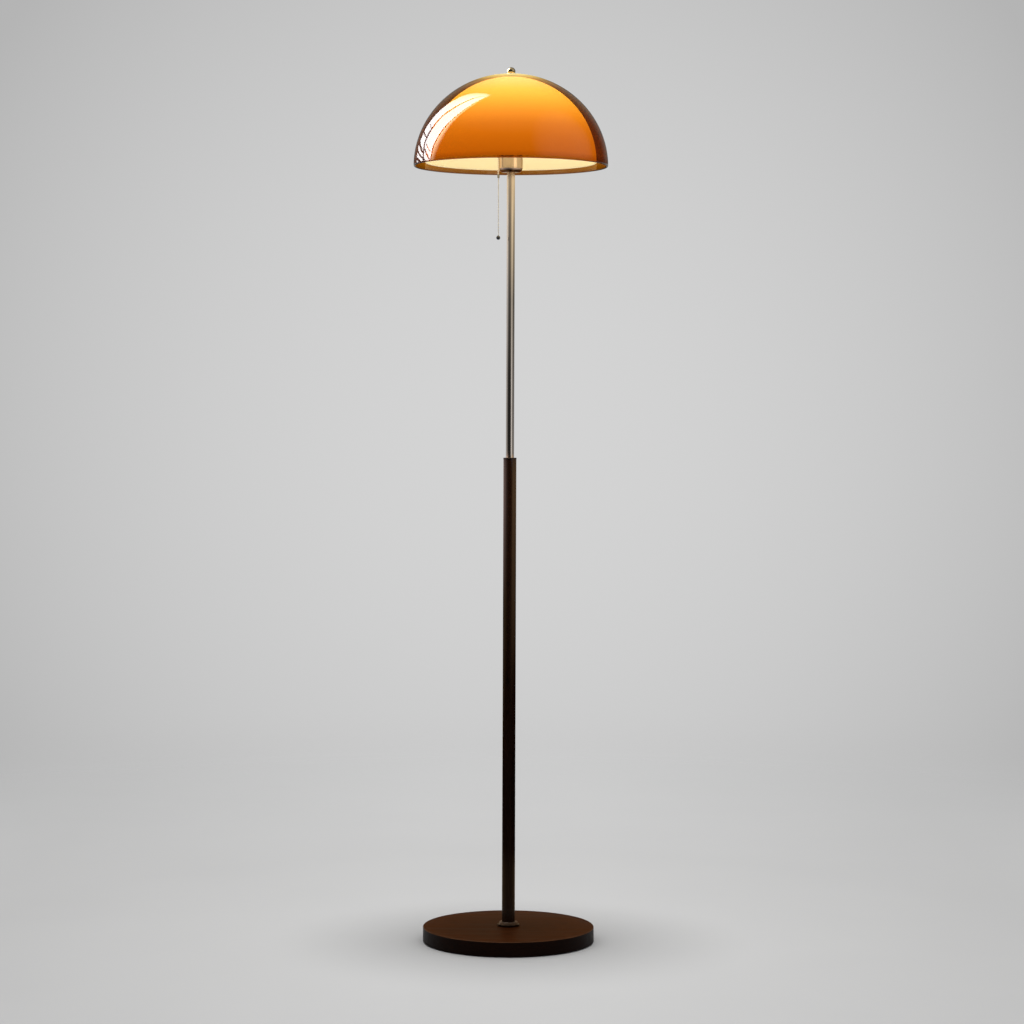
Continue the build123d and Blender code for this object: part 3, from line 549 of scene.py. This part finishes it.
# %% List the glows beside the brass
pole_low = [
    0.5, 0.45, 0.36, 0.25, 0.09, 0.02, 0.01, 0.02, 0.12, 0.80, 0.94, 0.40, 0.22, 0.18, 0.17, 0.24, 0.5,
]
pole_rising = [
    0.6, 0.50, 0.42, 0.29, 0.10, 0.03, 0.01, 0.03, 0.14, 0.74, 0.80, 0.40, 0.27, 0.16, 0.11, 0.20, 0.5,
]
pole_middle = [
    0.6, 0.60, 0.60, 0.50, 0.26, 0.14, 0.04, 0.10, 0.26, 0.60, 0.60, 0.44, 0.30, 0.12, 0.07, 0.15, 0.5,
]
pole_high = [
    0.7, 0.80, 0.86, 0.80, 0.46, 0.28, 0.15, 0.30, 0.62, 0.80, 0.84, 0.84, 0.78, 0.56, 0.30, 0.40, 0.6,
]
pole_top = [
    0.8, 0.90, 0.92, 0.88, 0.60, 0.46, 0.33, 0.46, 0.74, 0.84, 0.88, 0.92, 0.94, 0.88, 0.74, 0.70, 0.7,
]
print("most beside the brass:", max(pole_low + pole_rising + pole_middle + pole_high + pole_top))

# %% Tint the rows and stand the sheet
wood_tint, rosy_tint = (1.0, 0.67, 0.36), (1.0, 0.73, 0.66)
sky_tint, brass_tint = (1.0, 1.07, 1.28), (1.0, 1.02, 1.10)
pale_tint, sand_tint = (1.0, 1.0, 1.08), (1.0, 0.91, 0.77)
lamplit_left, lamplit_right = (1.0, 0.92, 0.84), (1.0, 0.86, 0.66)
standing_sheet("pole_surround", 0.16, compasses, [
    (0.030, wood_tint, wood_tint, foot),
    (0.110, wood_tint, wood_tint, foot),
    (0.140, wood_tint, wood_tint, unlit),
    (0.300, wood_tint, wood_tint, unlit),
    (0.440, wood_tint, wood_tint, post_low),
    (0.610, wood_tint, wood_tint, post_middle),
    (0.796, rosy_tint, wood_tint, post_top),
    (0.868, rosy_tint, wood_tint, post_top),
    (0.880, sky_tint, sky_tint, pole_low),
    (0.908, sky_tint, sky_tint, pole_low),
    (1.020, sky_tint, sky_tint, pole_rising),
    (1.169, sky_tint, brass_tint, pole_middle),
    (1.318, pale_tint, sand_tint, pole_high),
    (1.384, lamplit_left, lamplit_right, pole_top),
    (1.399, lamplit_left, lamplit_right, pole_top),
])

# %% [markdown]
# ## Two strips of light for the cup
# The cup under the shade is lit by the opal dome round it, which is so even that brass looks flat in
# it. A bright upright stripe right of the middle and a pale left edge show how round the cup is.
# Painted stripes would look wrong from any other side, so each stripe is a small lamp that stands
# inside the shade and is seen only in reflections.

# %% Stand the strips


def strip_light(name, compass, width, glow, colour, reach=0.10, low=1.405, high=1.455):
    """An upright strip beside the cup, with its brightness given as a glow."""
    turn = math.radians(compass)
    place = Vector((reach * math.sin(turn), -reach * math.cos(turn), (low + high) / 2))
    tall = high - low
    power = glow * math.pi * width * tall
    hang_light(name, "RECTANGLE", (width, tall), power, place, (0.0, 0.0, place.z), colour, mirrored=True)
    return power


stripe_power = strip_light("cup_stripe", compass=40.0, width=0.052, glow=0.95, colour=(1.0, 0.76, 0.46))
edge_power = strip_light("cup_edge", compass=-118.0, width=0.070, glow=0.60, colour=(1.0, 0.74, 0.42))
print("strips in watts:", round(stripe_power, 4), round(edge_power, 4))

# %% [markdown]
# ## Helpers for finishes
# Every finish is one Principled shader whose colour, roughness and bump come from small procedural
# patterns. Patterns could be painted on an unwrapped picture, but a pattern in the object's own space
# needs no unwrapping, has no seams and keeps its real scale in metres.

# %% Start a finish


def finish_of(name, colour, roughness, metallic=0.0, **more):
    """A material with one Principled shader and its plain numbers set on the shader itself."""
    material = bpy.data.materials.new(name)
    material.use_nodes = True
    shader = material.node_tree.nodes["Principled BSDF"]
    shader.inputs["Base Color"].default_value = (*colour, 1.0)
    shader.inputs["Roughness"].default_value = roughness
    shader.inputs["Metallic"].default_value = metallic
    for socket, value in more.items():
        shader.inputs[socket.replace("_", " ")].default_value = value
    return material, shader


def place_in(material, stretch=(1.0, 1.0, 1.0)):
    """The piece's own coordinates, stretched for grain that runs one way."""
    tree = material.node_tree
    mapping = tree.nodes.new("ShaderNodeMapping")
    mapping.inputs["Scale"].default_value = stretch
    tree.links.new(tree.nodes.new("ShaderNodeTexCoord").outputs["Object"], mapping.inputs["Vector"])
    return mapping.outputs["Vector"]


def height_in(material):
    """How high a point of the piece is, in metres."""
    return parts_of(material.node_tree, place_in(material))[2]


print("a finish starts with one shader")

# %% Speckle and shade a finish


def speckle(material, place, scale, detail=4.0, distortion=0.0):
    """Noise from 0 to 1, with about that many spots in a metre."""
    node = material.node_tree.nodes.new("ShaderNodeTexNoise")
    node.inputs["Scale"].default_value = scale
    node.inputs["Detail"].default_value = detail
    node.inputs["Distortion"].default_value = distortion
    material.node_tree.links.new(place, node.inputs["Vector"])
    return node.outputs["Fac"]


def paint(material, shader, socket, share, stops):
    """Drives one socket of the shader through a ramp."""
    tree = material.node_tree
    tree.links.new(ramp_of(tree, share, stops), shader.inputs[socket])


def shade_by_height(material, shader, colour, low, high, stops):
    """Paints shade: darkens a colour through a ramp that runs from one height to another."""
    tree = material.node_tree
    shaded = tinted(tree, colour, ramp_of(tree, share_of(tree, height_in(material), low, high), stops))
    tree.links.new(shaded, shader.inputs["Base Color"])
    return shaded


print("a finish can be speckled and shaded")

# %% Give a finish its relief


def relief(material, shader, height, depth, strength=0.5):
    """Bump of a real depth, in metres."""
    bump = material.node_tree.nodes.new("ShaderNodeBump")
    bump.inputs["Distance"].default_value = depth
    bump.inputs["Strength"].default_value = strength
    material.node_tree.links.new(height, bump.inputs["Height"])
    material.node_tree.links.new(bump.outputs["Normal"], shader.inputs["Normal"])


print("a finish can have relief")

# %% [markdown]
# ## Dark walnut
# The base and the lower post are stained so dark that the grain shows only where light skims it. The
# wood has long soft bands and fine dark pores along them. Grain is noise that is stretched along the
# wood: along X on the disc, which is glued up from boards, and upward on the post. A wood texture
# node could draw rings instead, but rings show only on end grain. The base is oiled and dull, and the
# post is lacquered, so that it mirrors the room in soft bands.

# %% Mix the walnut
stain_dark, stain, stain_light = (0.055, 0.0127, 0.0010), (0.074, 0.0180, 0.0016), (0.096, 0.0250, 0.0030)


def walnut(name, stretch, bands, pores, shine, polish):
    """Stained wood with its grain along the axis whose stretch is small."""
    material, shader = finish_of(name, stain, polish, Specular_IOR_Level=shine)
    tree = material.node_tree
    place = place_in(material, stretch)
    band = speckle(material, place, bands, 6.0, 0.6)
    pore = speckle(material, place, pores, 3.0)
    band_colour = ramp_of(tree, band, [(0.30, stain_dark), (0.52, stain), (0.72, stain_light)])
    stained = tinted(tree, band_colour, ramp_of(tree, pore, [(0.36, grey(0.45)), (0.50, grey(1.0))]))
    paint(material, shader, "Roughness", band, [(0.3, grey(polish)), (0.7, grey(polish * 1.3))])
    relief(material, shader, pore, 0.00012, 0.6)
    return material, shader, stained


base_wood, base_shader, base_stain_and_shade = walnut(
    "walnut_base", (0.06, 1.0, 1.0), bands=70.0, pores=900.0, shine=0.05, polish=0.42,
)
post_wood, post_shader, post_stain = walnut(
    "walnut_post", (1.0, 1.0, 0.05), bands=120.0, pores=1400.0, shine=0.45, polish=0.22,
)
print("walnut:", base_wood.name, post_wood.name)

# %% [markdown]
# ## Painted shade on the post and the base
# The post is painted darker toward its foot, away from the lit shade, and the side of the disc darker
# than its top: this is painted shade, where less light falls. Lights could be placed to do that, but
# they would change the shadow round the base as well. So the stain is multiplied by a painted-shade ramp
# over height.

# %% Paint shade on the foot and the side
# Painted shade: the post gets darker toward its foot.
shade_by_height(
    post_wood, post_shader, post_stain, 0.0, 0.9,
    [(0.10, grey(0.18)), (0.30, grey(0.15)), (0.49, grey(0.21)), (0.69, grey(0.28)), (0.90, grey(0.46))],
)
base_low, base_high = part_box("base_disc")
# Painted shade: the side of the disc is darker than its top.
base_stain_and_shade = shade_by_height(
    base_wood, base_shader, base_stain_and_shade, base_low.z, base_high.z,
    [(0.0, grey(0.10)), (0.93, grey(0.12)), (0.985, grey(1.0))],
)
finishes = {"walnut": base_wood, "walnut_post": post_wood}
print("base disc:", [round(2 * base_high.x, 3), round(base_high.z - base_low.z, 4)])

# %% [markdown]
# ## The lighter line round the base
# A lighter line about a millimetre wide, which comes and goes, runs round the top edge of the base. It is
# partly wear, where the stain has rubbed off, and partly a painted highlight along the edge. Pointiness
# could find the edge, but it needs a very fine mesh. The edge of a turned disc is simply where a point is
# both far from the axis and high up, so those two measures are multiplied, and noise breaks the line into
# patches.

# %% Paint the lighter edge
inward, edge_full_inward = 0.0016, 0.0004
downward, edge_full_downward = 0.0018, 0.0006


def lighter_edge_wear_and_highlight(material, shader, colour, radius, top, lighter_edge_wood):
    """Lighter wood in patches along a disc's top edge: wear and a painted highlight."""
    tree = material.node_tree
    x, y, z = parts_of(tree, place_in(material))
    flat = tree.nodes.new("ShaderNodeCombineXYZ")
    tree.links.new(x, flat.inputs["X"])
    tree.links.new(y, flat.inputs["Y"])
    from_axis = length_of(tree, flat.outputs[0])
    near_rim = share_of(tree, from_axis, radius - inward, radius - edge_full_inward, "SMOOTHSTEP")
    near_top = share_of(tree, z, top - downward, top - edge_full_downward, "SMOOTHSTEP")
    patches = speckle(material, place_in(material), 45.0, 6.0)
    wear_and_highlight_share = maths(tree, "MULTIPLY", maths(tree, "MULTIPLY", near_rim, near_top), patches)
    lighter_edge = tree.nodes.new("ShaderNodeMix")
    lighter_edge.data_type = "RGBA"
    lighter_edge.inputs["B"].default_value = (*lighter_edge_wood, 1.0)
    tree.links.new(wear_and_highlight_share, lighter_edge.inputs["Factor"])
    tree.links.new(colour, lighter_edge.inputs["A"])
    tree.links.new(lighter_edge.outputs["Result"], shader.inputs["Base Color"])


# The lighter edge line is partly wear and partly a painted highlight.
lighter_edge_wear_and_highlight(base_wood, base_shader, base_stain_and_shade, base_high.x, base_high.z, (0.16, 0.080, 0.042))
print("worn line at radius", round(base_high.x, 3))

# %% [markdown]
# ## Brass, bronze and plated steel
# The pole is satin champagne brass: drawn tube, brushed along its length, with a soft cloudy tone.
# The finial is polished, the collar ring is dull and aged, and the flange is dark bronze. The upper
# chain, close under the lit shade, is rose, which is painted lamp light on it; the lower chain is pale
# where it shows, its connector grey and its ball nearly black. One function makes them all, because
# they differ only in colour, gloss and the run of their brushing.

# %% Write the recipe for a metal


def metal(name, colour, roughness, clouding=0.08, stretch=(1.0, 1.0, 1.0), scale=500.0, depth=0.00001):
    """A metal with cloudy tone, uneven gloss and fine marks."""
    material, shader = finish_of(name, colour, roughness, 1.0)
    mark = speckle(material, place_in(material, stretch), scale, 5.0)
    cloud = speckle(material, place_in(material), 18.0, 3.0)
    darker = [c * (1 - clouding * 1.3) for c in colour]
    lighter = [min(1.0, c * (1 + clouding * 0.6)) for c in colour]
    paint(material, shader, "Base Color", cloud, [(0.3, darker), (0.7, lighter)])
    glossier, duller = grey(roughness * 0.82), grey(roughness * 1.18)
    paint(material, shader, "Roughness", mark, [(0.25, glossier), (0.75, duller)])
    relief(material, shader, mark, depth)
    return material


print("a metal has a colour, a roughness and marks")

# %% Mix the metals
# Each row: name, colour, roughness, clouding, stretch of the marks, their number in a metre, their depth.
metals = [
    ("satin_brass", (0.78, 0.65, 0.48), 0.13, 0.06, (1.0, 1.0, 0.02), 2200.0, 0.000002),
    ("polished_brass", (0.83, 0.63, 0.34), 0.10, 0.05),
    ("cup_brass", (0.55, 0.45, 0.40), 0.11, 0.06),
    ("aged_metal", (0.40, 0.31, 0.25), 0.50, 0.25, (1.0, 1.0, 6.0), 300.0),
    ("dark_bronze", (0.050, 0.038, 0.030), 0.32, 0.20, white, 400.0),
    ("nickel", (0.72, 0.69, 0.63), 0.20, 0.05, white, 600.0),
    ("steel", (0.52, 0.53, 0.55), 0.36, 0.12),
    ("cast_iron", (0.07, 0.07, 0.075), 0.70, 0.30, white, 700.0, 0.0002),
    ("chain_brass", (0.50, 0.40, 0.24), 0.30, 0.15, white, 900.0),
    # Painted lamp light: the upper chain's warm rose colour.
    ("chain_rose", (0.92, 0.80, 0.68), 0.34, 0.06, white, 900.0),
    ("chain_pale", (0.90, 0.89, 0.87), 0.40, 0.06, white, 900.0),
    ("grey_nickel", (0.42, 0.41, 0.38), 0.40, 0.15, white, 700.0),
    ("pewter", (0.10, 0.10, 0.098), 0.26, 0.15),
]
for name, *mix in metals:
    finishes[name] = metal(name, *mix)
print("metals:", len(metals))

# %% [markdown]
# ## The shaded and tarnished foot of the cup
# The rounded underside of the cup is painted brown and dark, as painted shade under the cup and as
# tarnish, and its edges look warm rather than white. A second piece could carry the darkening, but there
# is no line where it starts, so the brass is multiplied by a ramp over height, and Specular Tint warms what
# it mirrors edge on.

# %% Paint shade and tarnish on the cup
cup_low, cup_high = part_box("socket_husk")
cup_shader = finishes["cup_brass"].node_tree.nodes["Principled BSDF"]
cup_colour = cup_shader.inputs["Base Color"].links[0].from_socket
cup_shader.inputs["Specular Tint"].default_value = (0.45, 0.30, 0.14, 1.0)
# Painted shade and tarnish: the underside is darker than the brass above it.
shade_by_height(
    finishes["cup_brass"], cup_shader, cup_colour, cup_low.z, cup_high.z,
    [(0.02, (0.16, 0.075, 0.02)), (0.10, (0.30, 0.18, 0.08)), (0.22, white)],
)
print("cup:", round(cup_high.z - cup_low.z, 4), "high")

# %% [markdown]
# ## Small dark materials
# The cord bushing and the bulb's insulator are moulded black plastic, the gasket is rubber, and the
# lampholder has a card liner and a red fibre washer, as every metal lampholder does. They hardly
# show, so one plain function with a mottle and a little grain is enough for all four.

# %% Mix plastic, rubber and fibre


def plain_finish(name, colour, roughness, scale, depth):
    """A dull material with a fine mottle and grain."""
    material, shader = finish_of(name, colour, roughness)
    mottle = speckle(material, place_in(material), scale, 5.0)
    paint(material, shader, "Base Color", mottle, [(0.3, colour), (0.75, [1.4 * c for c in colour])])
    relief(material, shader, mottle, depth)
    return material


# Each row: name, colour, roughness, spots in a metre, depth of the grain.
dull_ones = [
    ("black_plastic", (0.012, 0.012, 0.013), 0.42, 1200.0, 0.00005),
    ("rubber", (0.018, 0.017, 0.016), 0.75, 900.0, 0.00005),
    ("fibre", (0.19, 0.13, 0.07), 0.85, 700.0, 0.00010),
    ("fibre_red", (0.16, 0.030, 0.022), 0.55, 600.0, 0.00005),
]
for name, *mix in dull_ones:
    finishes[name] = plain_finish(name, *mix)
print("finishes:", len(finishes))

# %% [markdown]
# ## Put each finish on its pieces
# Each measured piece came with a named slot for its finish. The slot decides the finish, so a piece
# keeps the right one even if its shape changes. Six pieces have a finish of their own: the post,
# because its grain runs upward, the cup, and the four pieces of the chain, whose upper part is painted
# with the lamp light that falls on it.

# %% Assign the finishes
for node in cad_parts.values():
    for place in range(len(node.data.materials)):
        wanted = node.data.materials[place].name.split(".")[0]
        if wanted in finishes:
            node.data.materials[place] = finishes[wanted]
own_finish = {
    "lower_post": "walnut_post", "socket_husk": "cup_brass", "upper_chain": "chain_rose",
    "lower_chain": "chain_pale", "pull_ball": "pewter", "chain_connector": "grey_nickel",
}
for name, wanted in own_finish.items():
    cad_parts[name].data.materials[0] = finishes[wanted]
used = {m.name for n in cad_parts.values() for m in n.data.materials}
print("left for turned pieces:", sorted(used - {m.name for m in finishes.values()}))

# %% [markdown]
# ## Turned shapes
# Both domes, the bulb and the felt are round, so each is one outline spun about the lamp's axis.
# A modifier could spin it, but plain code lets the outline be as fine as the gloss needs: a mirror-like
# dome shows every facet, and 256 sides with a fine outline show none.

# %% Spin an outline


def turned(name, outline, sides=256, body="lamp"):
    """A closed outline of (radius, height) points, spun about the lamp's axis."""
    mesh = bpy.data.meshes.new(name)
    points, faces = [], []
    for radius, height in outline:
        for side in range(sides):
            angle = 2 * math.pi * side / sides
            points.append((radius * math.cos(angle), radius * math.sin(angle), height))
    for i in range(len(outline)):
        j = (i + 1) % len(outline)
        for side in range(sides):
            k = (side + 1) % sides
            faces.append((i * sides + side, i * sides + k, j * sides + k, j * sides + side))
    mesh.from_pydata(points, [], faces)
    edit = bmesh.new()
    edit.from_mesh(mesh)
    bmesh.ops.remove_doubles(edit, verts=edit.verts, dist=1e-7)
    bmesh.ops.dissolve_degenerate(edit, edges=edit.edges, dist=1e-8)
    bmesh.ops.recalc_face_normals(edit, faces=edit.faces)
    edit.to_mesh(mesh)
    edit.free()
    mesh.shade_smooth()
    mesh.set_sharp_from_angle(angle=math.radians(40))
    piece = bpy.data.objects.new(name, mesh)
    bpy.context.scene.collection.objects.link(piece)
    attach(piece, body)
    return piece


print("an outline can be spun")

# %% Draw an arc


def arc(centre, radius, start, end, steps):
    """Points of (radius, height) round a centre, with angles in degrees."""
    turn = [math.radians(start + (end - start) * i / steps) for i in range(steps + 1)]
    return [(centre[0] + radius * math.cos(a), centre[1] + radius * math.sin(a)) for a in turn]


print("an arc of three points:", [(round(r, 2), round(h, 2)) for r, h in arc((0, 0), 1, 0, 90, 2)])

# %% [markdown]
# ## The outline of a dome
# Both domes are half ellipses with an even wall, a small hole at the crown for the stud and a soft
# round rim. The outline runs down the outside, round the rim and back up the inside. Its size is read
# from the measured solid, so it fits whatever the solid is. The points are evenly spaced in angle,
# which puts more of them where the dome bends more.

# %% Draw a dome's outline
wall, stud_hole, lip = 0.003, 0.0055, 0.0012


def dome_outline(node, steps=90):
    """A half-ellipse shell that fits a measured dome, with its rim's height and its rise."""
    low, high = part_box(node)
    radius, rim = min(-low.x, high.x, -low.y, high.y), low.z
    rise = (high.z - rim) / math.sqrt(1 - (stud_hole / radius) ** 2)

    def side(r, h):
        first = math.asin(stud_hole / r)
        turn = [first + (math.pi / 2 - first) * i / steps for i in range(steps + 1)]
        points = [(r * math.sin(t), rim + h * math.cos(t)) for t in turn]
        return [p for p in points if p[1] > rim + lip]

    round_rim = arc((radius - lip, rim + lip), lip, 0, -90, 6)
    round_rim += arc((radius - wall + lip, rim + lip), lip, -90, -180, 6)
    return side(radius, rise) + round_rim + side(radius - wall, rise - wall)[::-1], rim, rise


print("dome walls:", wall)

# %% [markdown]
# ## The smoky amber dome
# The outer dome is tinted acrylic, three millimetres thick. It could be a thin coloured sheet, but a
# real wall bends and doubles what is behind it and gets darker where it is seen edge on. So it is a
# shell with a true inside and outside and one clear shader. Most of the tint is in its surface, and
# a light volume absorption adds a little more where a ray passes through much of it. The tint runs
# with height and carries painted light: the rim is painted darker and browner as painted shade, and
# the crown, close over the bulb, is painted paler and given a slight painted glow for the bulb's light that
# the acrylic scatters.

# %% Turn the amber dome
amber_outline, shade_rim, shade_rise = dome_outline("outer_shade")
amber_dome = turned("amber_dome", amber_outline, sides=320)
print("amber dome: rim", round(shade_rim, 4), "rise", round(shade_rise, 4))

# %% Tint the acrylic
amber, amber_shader = finish_of(
    "amber_acrylic_clear", (0.66, 0.40, 0.13), 0.0, IOR=1.49, Transmission_Weight=1.0, Emission_Strength=1.0,
)
haze = speckle(amber, place_in(amber), 40.0, 3.0)
paint(amber, amber_shader, "Roughness", haze, [(0.35, grey(0.0)), (0.75, grey(0.025))])
toward_crown = share_of(amber.node_tree, height_in(amber), shade_rim, shade_rim + shade_rise)
# Painted light: the tint by height is darker at the rim as painted shade and paler at the crown.
paint(amber, amber_shader, "Base Color", toward_crown, [
    (0.0, (0.26, 0.085, 0.004)), (0.04, (0.37, 0.125, 0.005)), (0.08, (0.47, 0.172, 0.007)),
    (0.24, (0.47, 0.171, 0.009)), (0.37, (0.47, 0.178, 0.013)), (0.50, (0.48, 0.209, 0.022)),
    (0.64, (0.52, 0.288, 0.043)), (0.76, (0.59, 0.350, 0.080)), (0.87, (0.61, 0.368, 0.205)),
    (0.97, (0.62, 0.430, 0.310)),
])
print("surface of the acrylic:", amber.name)

# %% Paint the crown's glow and let the wall absorb
# Painted glow on the crown, though the acrylic is no lamp.
paint(amber, amber_shader, "Emission Color", toward_crown, [
    (0.80, (0.0, 0.0, 0.0)), (0.90, (0.08, 0.06, 0.015)), (0.95, (0.32, 0.295, 0.12)),
    (0.985, (0.49, 0.56, 0.39)),
])
absorb = amber.node_tree.nodes.new("ShaderNodeVolumeAbsorption")
absorb.inputs["Color"].default_value = (0.97, 0.75, 0.05, 1.0)
absorb.inputs["Density"].default_value = 150.0
amber.node_tree.links.new(absorb.outputs[0], amber.node_tree.nodes["Material Output"].inputs["Volume"])
amber_dome.data.materials.append(amber)
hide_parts("outer_shade")
print("amber nodes:", len(amber.node_tree.nodes))

# %% [markdown]
# ## The lit opal dome
# The inner dome spreads the bulb's light. It is brightest at its crown, close over the bulb, and dims
# toward its rim. Light could be traced from the bulb through the opal wall, but that is slow and noisy.
# The dome glows by itself instead, by height, with one material outside and one inside.

# %% Write the recipe for the opal
opal_outline, opal_rim, opal_rise = dome_outline("inner_diffuser")


def glowing_opal(name, colours, strengths):
    """Opal plastic whose glow changes with height above the rim."""
    material, shader = finish_of(name, (0.80, 0.76, 0.68), 0.35)
    tree = material.node_tree
    share = share_of(tree, height_in(material), opal_rim, opal_rim + opal_rise)
    paint(material, shader, "Emission Color", share, colours)
    full = max(strength for place, strength in strengths)
    part = ramp_of(tree, share, [(place, grey(strength / full)) for place, strength in strengths])
    tree.links.new(maths(tree, "MULTIPLY", part, full), shader.inputs["Emission Strength"])
    mist = speckle(material, place_in(material), 60.0, 3.0)
    paint(material, shader, "Roughness", mist, [(0.3, grey(0.30)), (0.7, grey(0.40))])
    return material


print("opal dome: rim", round(opal_rim, 4), "rise", round(opal_rise, 4))

# %% Mix it for outside and inside
outside_glow = glowing_opal(
    "opal_outside",
    [
        (0.05, (1.0, 0.62, 0.17)), (0.22, (1.0, 0.70, 0.27)), (0.36, (1.0, 0.75, 0.35)),
        (0.50, (1.0, 0.80, 0.42)), (0.65, (1.0, 0.83, 0.47)), (0.78, (1.0, 0.85, 0.52)),
        (0.90, (1.0, 0.87, 0.56)), (1.00, (1.0, 0.88, 0.60)),
    ],
    [
        (0.05, 1.05), (0.22, 1.34), (0.36, 1.64), (0.43, 1.90), (0.50, 2.18), (0.65, 2.48), (0.78, 2.8),
        (1.0, 3.6),
    ],
)
inside_glow = glowing_opal(
    "opal_inside",
    [(0.0, (1.0, 0.75, 0.26)), (1.0, (1.0, 0.83, 0.41))],
    [(0.0, 0.36), (0.5, 0.46), (1.0, 0.95)],
)
print("opal:", outside_glow.name, inside_glow.name)

# %% Make the opal dome
opal_dome = turned("opal_dome", opal_outline)
opal_dome.data.materials.append(outside_glow)
opal_dome.data.materials.append(inside_glow)
opal_middle = Vector((0.0, 0.0, opal_rim))
for face in opal_dome.data.polygons:
    faces_out = (face.center - opal_middle).dot(face.normal) > 0
    face.material_index = 0 if faces_out else 1
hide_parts("inner_diffuser")
print("opal dome: inside faces", sum(f.material_index for f in opal_dome.data.polygons))

# %% [markdown]
# ## The bulb
# A pear-shaped opal bulb sits in the holder. Only a low camera sees it under the shade. It could be a
# plain glowing ball, but its neck would be missing where it meets the holder. Its outline is a globe,
# a straight flank and a neck, turned like the domes, and it glows warm white.

# %% Turn the bulb
bulb_low, bulb_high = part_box("bulb_glass")
globe_radius = bulb_high.x
globe_middle = bulb_high.z - globe_radius
neck_radius, bulb_wall = 0.0135, 0.001
flank_start = 40
leave = math.radians(flank_start)
flank = (globe_radius * math.cos(leave) - neck_radius) / math.sin(leave)
neck_top = globe_middle - globe_radius * math.sin(leave) - flank * math.cos(leave)
bulb_outline = arc((0.0, globe_middle), globe_radius, 90, -flank_start, 40)
bulb_outline += [(neck_radius, neck_top), (neck_radius, bulb_low.z)]
bulb_outline += [(neck_radius - bulb_wall, bulb_low.z), (neck_radius - bulb_wall, neck_top)]
bulb_outline += arc((0.0, globe_middle), globe_radius - bulb_wall, -flank_start, 90, 40)
bulb = turned("bulb_globe", bulb_outline, sides=96)
print("bulb:", round(2 * globe_radius, 4), "wide, crown at", round(bulb_high.z, 4))

# %% Make the bulb glow
bulb_white, bulb_shader = finish_of("bulb_white", (0.92, 0.90, 0.86), 0.25, Emission_Strength=2.0)
frost = speckle(bulb_white, place_in(bulb_white), 90.0, 3.0)
paint(bulb_white, bulb_shader, "Emission Color", frost, [(0.3, (1.0, 0.82, 0.56)), (0.7, (1.0, 0.86, 0.62))])
bulb.data.materials.append(bulb_white)
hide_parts("bulb_glass")
print("bulb finish:", bulb_white.name)

# %% [markdown]
# ## The felt under the base
# A disc of pressed felt keeps the base off the floor. It is cut from sheet, so its edge is soft and a
# little uneven. Hair could make its fibres, but only its edge ever shows. It is turned with a rounded
# edge and then pushed in by a hair, more in some places, and its colour and bump are fine fibres.

# %% Cut the felt
felt_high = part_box("felt_pad")[1]
felt_radius, felt_top = felt_high.x, felt_high.z
felt_edge, felt_round = felt_radius - 0.0012, 0.0010
felt_outline = [(0.0, 0.0), (felt_radius * 0.5, 0.0), (felt_edge, 0.0)]
felt_outline += arc((felt_edge, felt_round), felt_round, -90, 90, 8)
felt_outline += [(felt_edge, felt_top), (felt_radius * 0.5, felt_top), (0.0, felt_top)]
felt = turned("felt_disc", felt_outline, sides=192)
for vertex in felt.data.vertices:
    angle = math.atan2(vertex.co.y, vertex.co.x)
    ragged = math.sin(31 * angle) * 0.00010 + math.sin(73 * angle + 1.3) * 0.00008
    if vertex.co.xy.length > felt_radius - 0.002:
        vertex.co.xy *= 1 - (0.0003 + ragged) / felt_radius
print("felt:", round(2 * felt_radius, 3), "wide,", round(felt_top, 4), "thick")

# %% Cover it with fibres
felt_finish, felt_shader = finish_of(
    "felt_fibre", (0.020, 0.021, 0.019), 0.95, Sheen_Weight=0.4, Sheen_Roughness=0.5,
)
fibres = speckle(felt_finish, place_in(felt_finish), 1600.0, 8.0, 1.2)
felt_colours = [(0.3, (0.012, 0.013, 0.012)), (0.7, (0.032, 0.033, 0.030))]
paint(felt_finish, felt_shader, "Base Color", fibres, felt_colours)
relief(felt_finish, felt_shader, fibres, 0.0003, 0.8)
felt.data.materials.append(felt_finish)
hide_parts("felt_pad")
print("felt finish:", felt_finish.name)
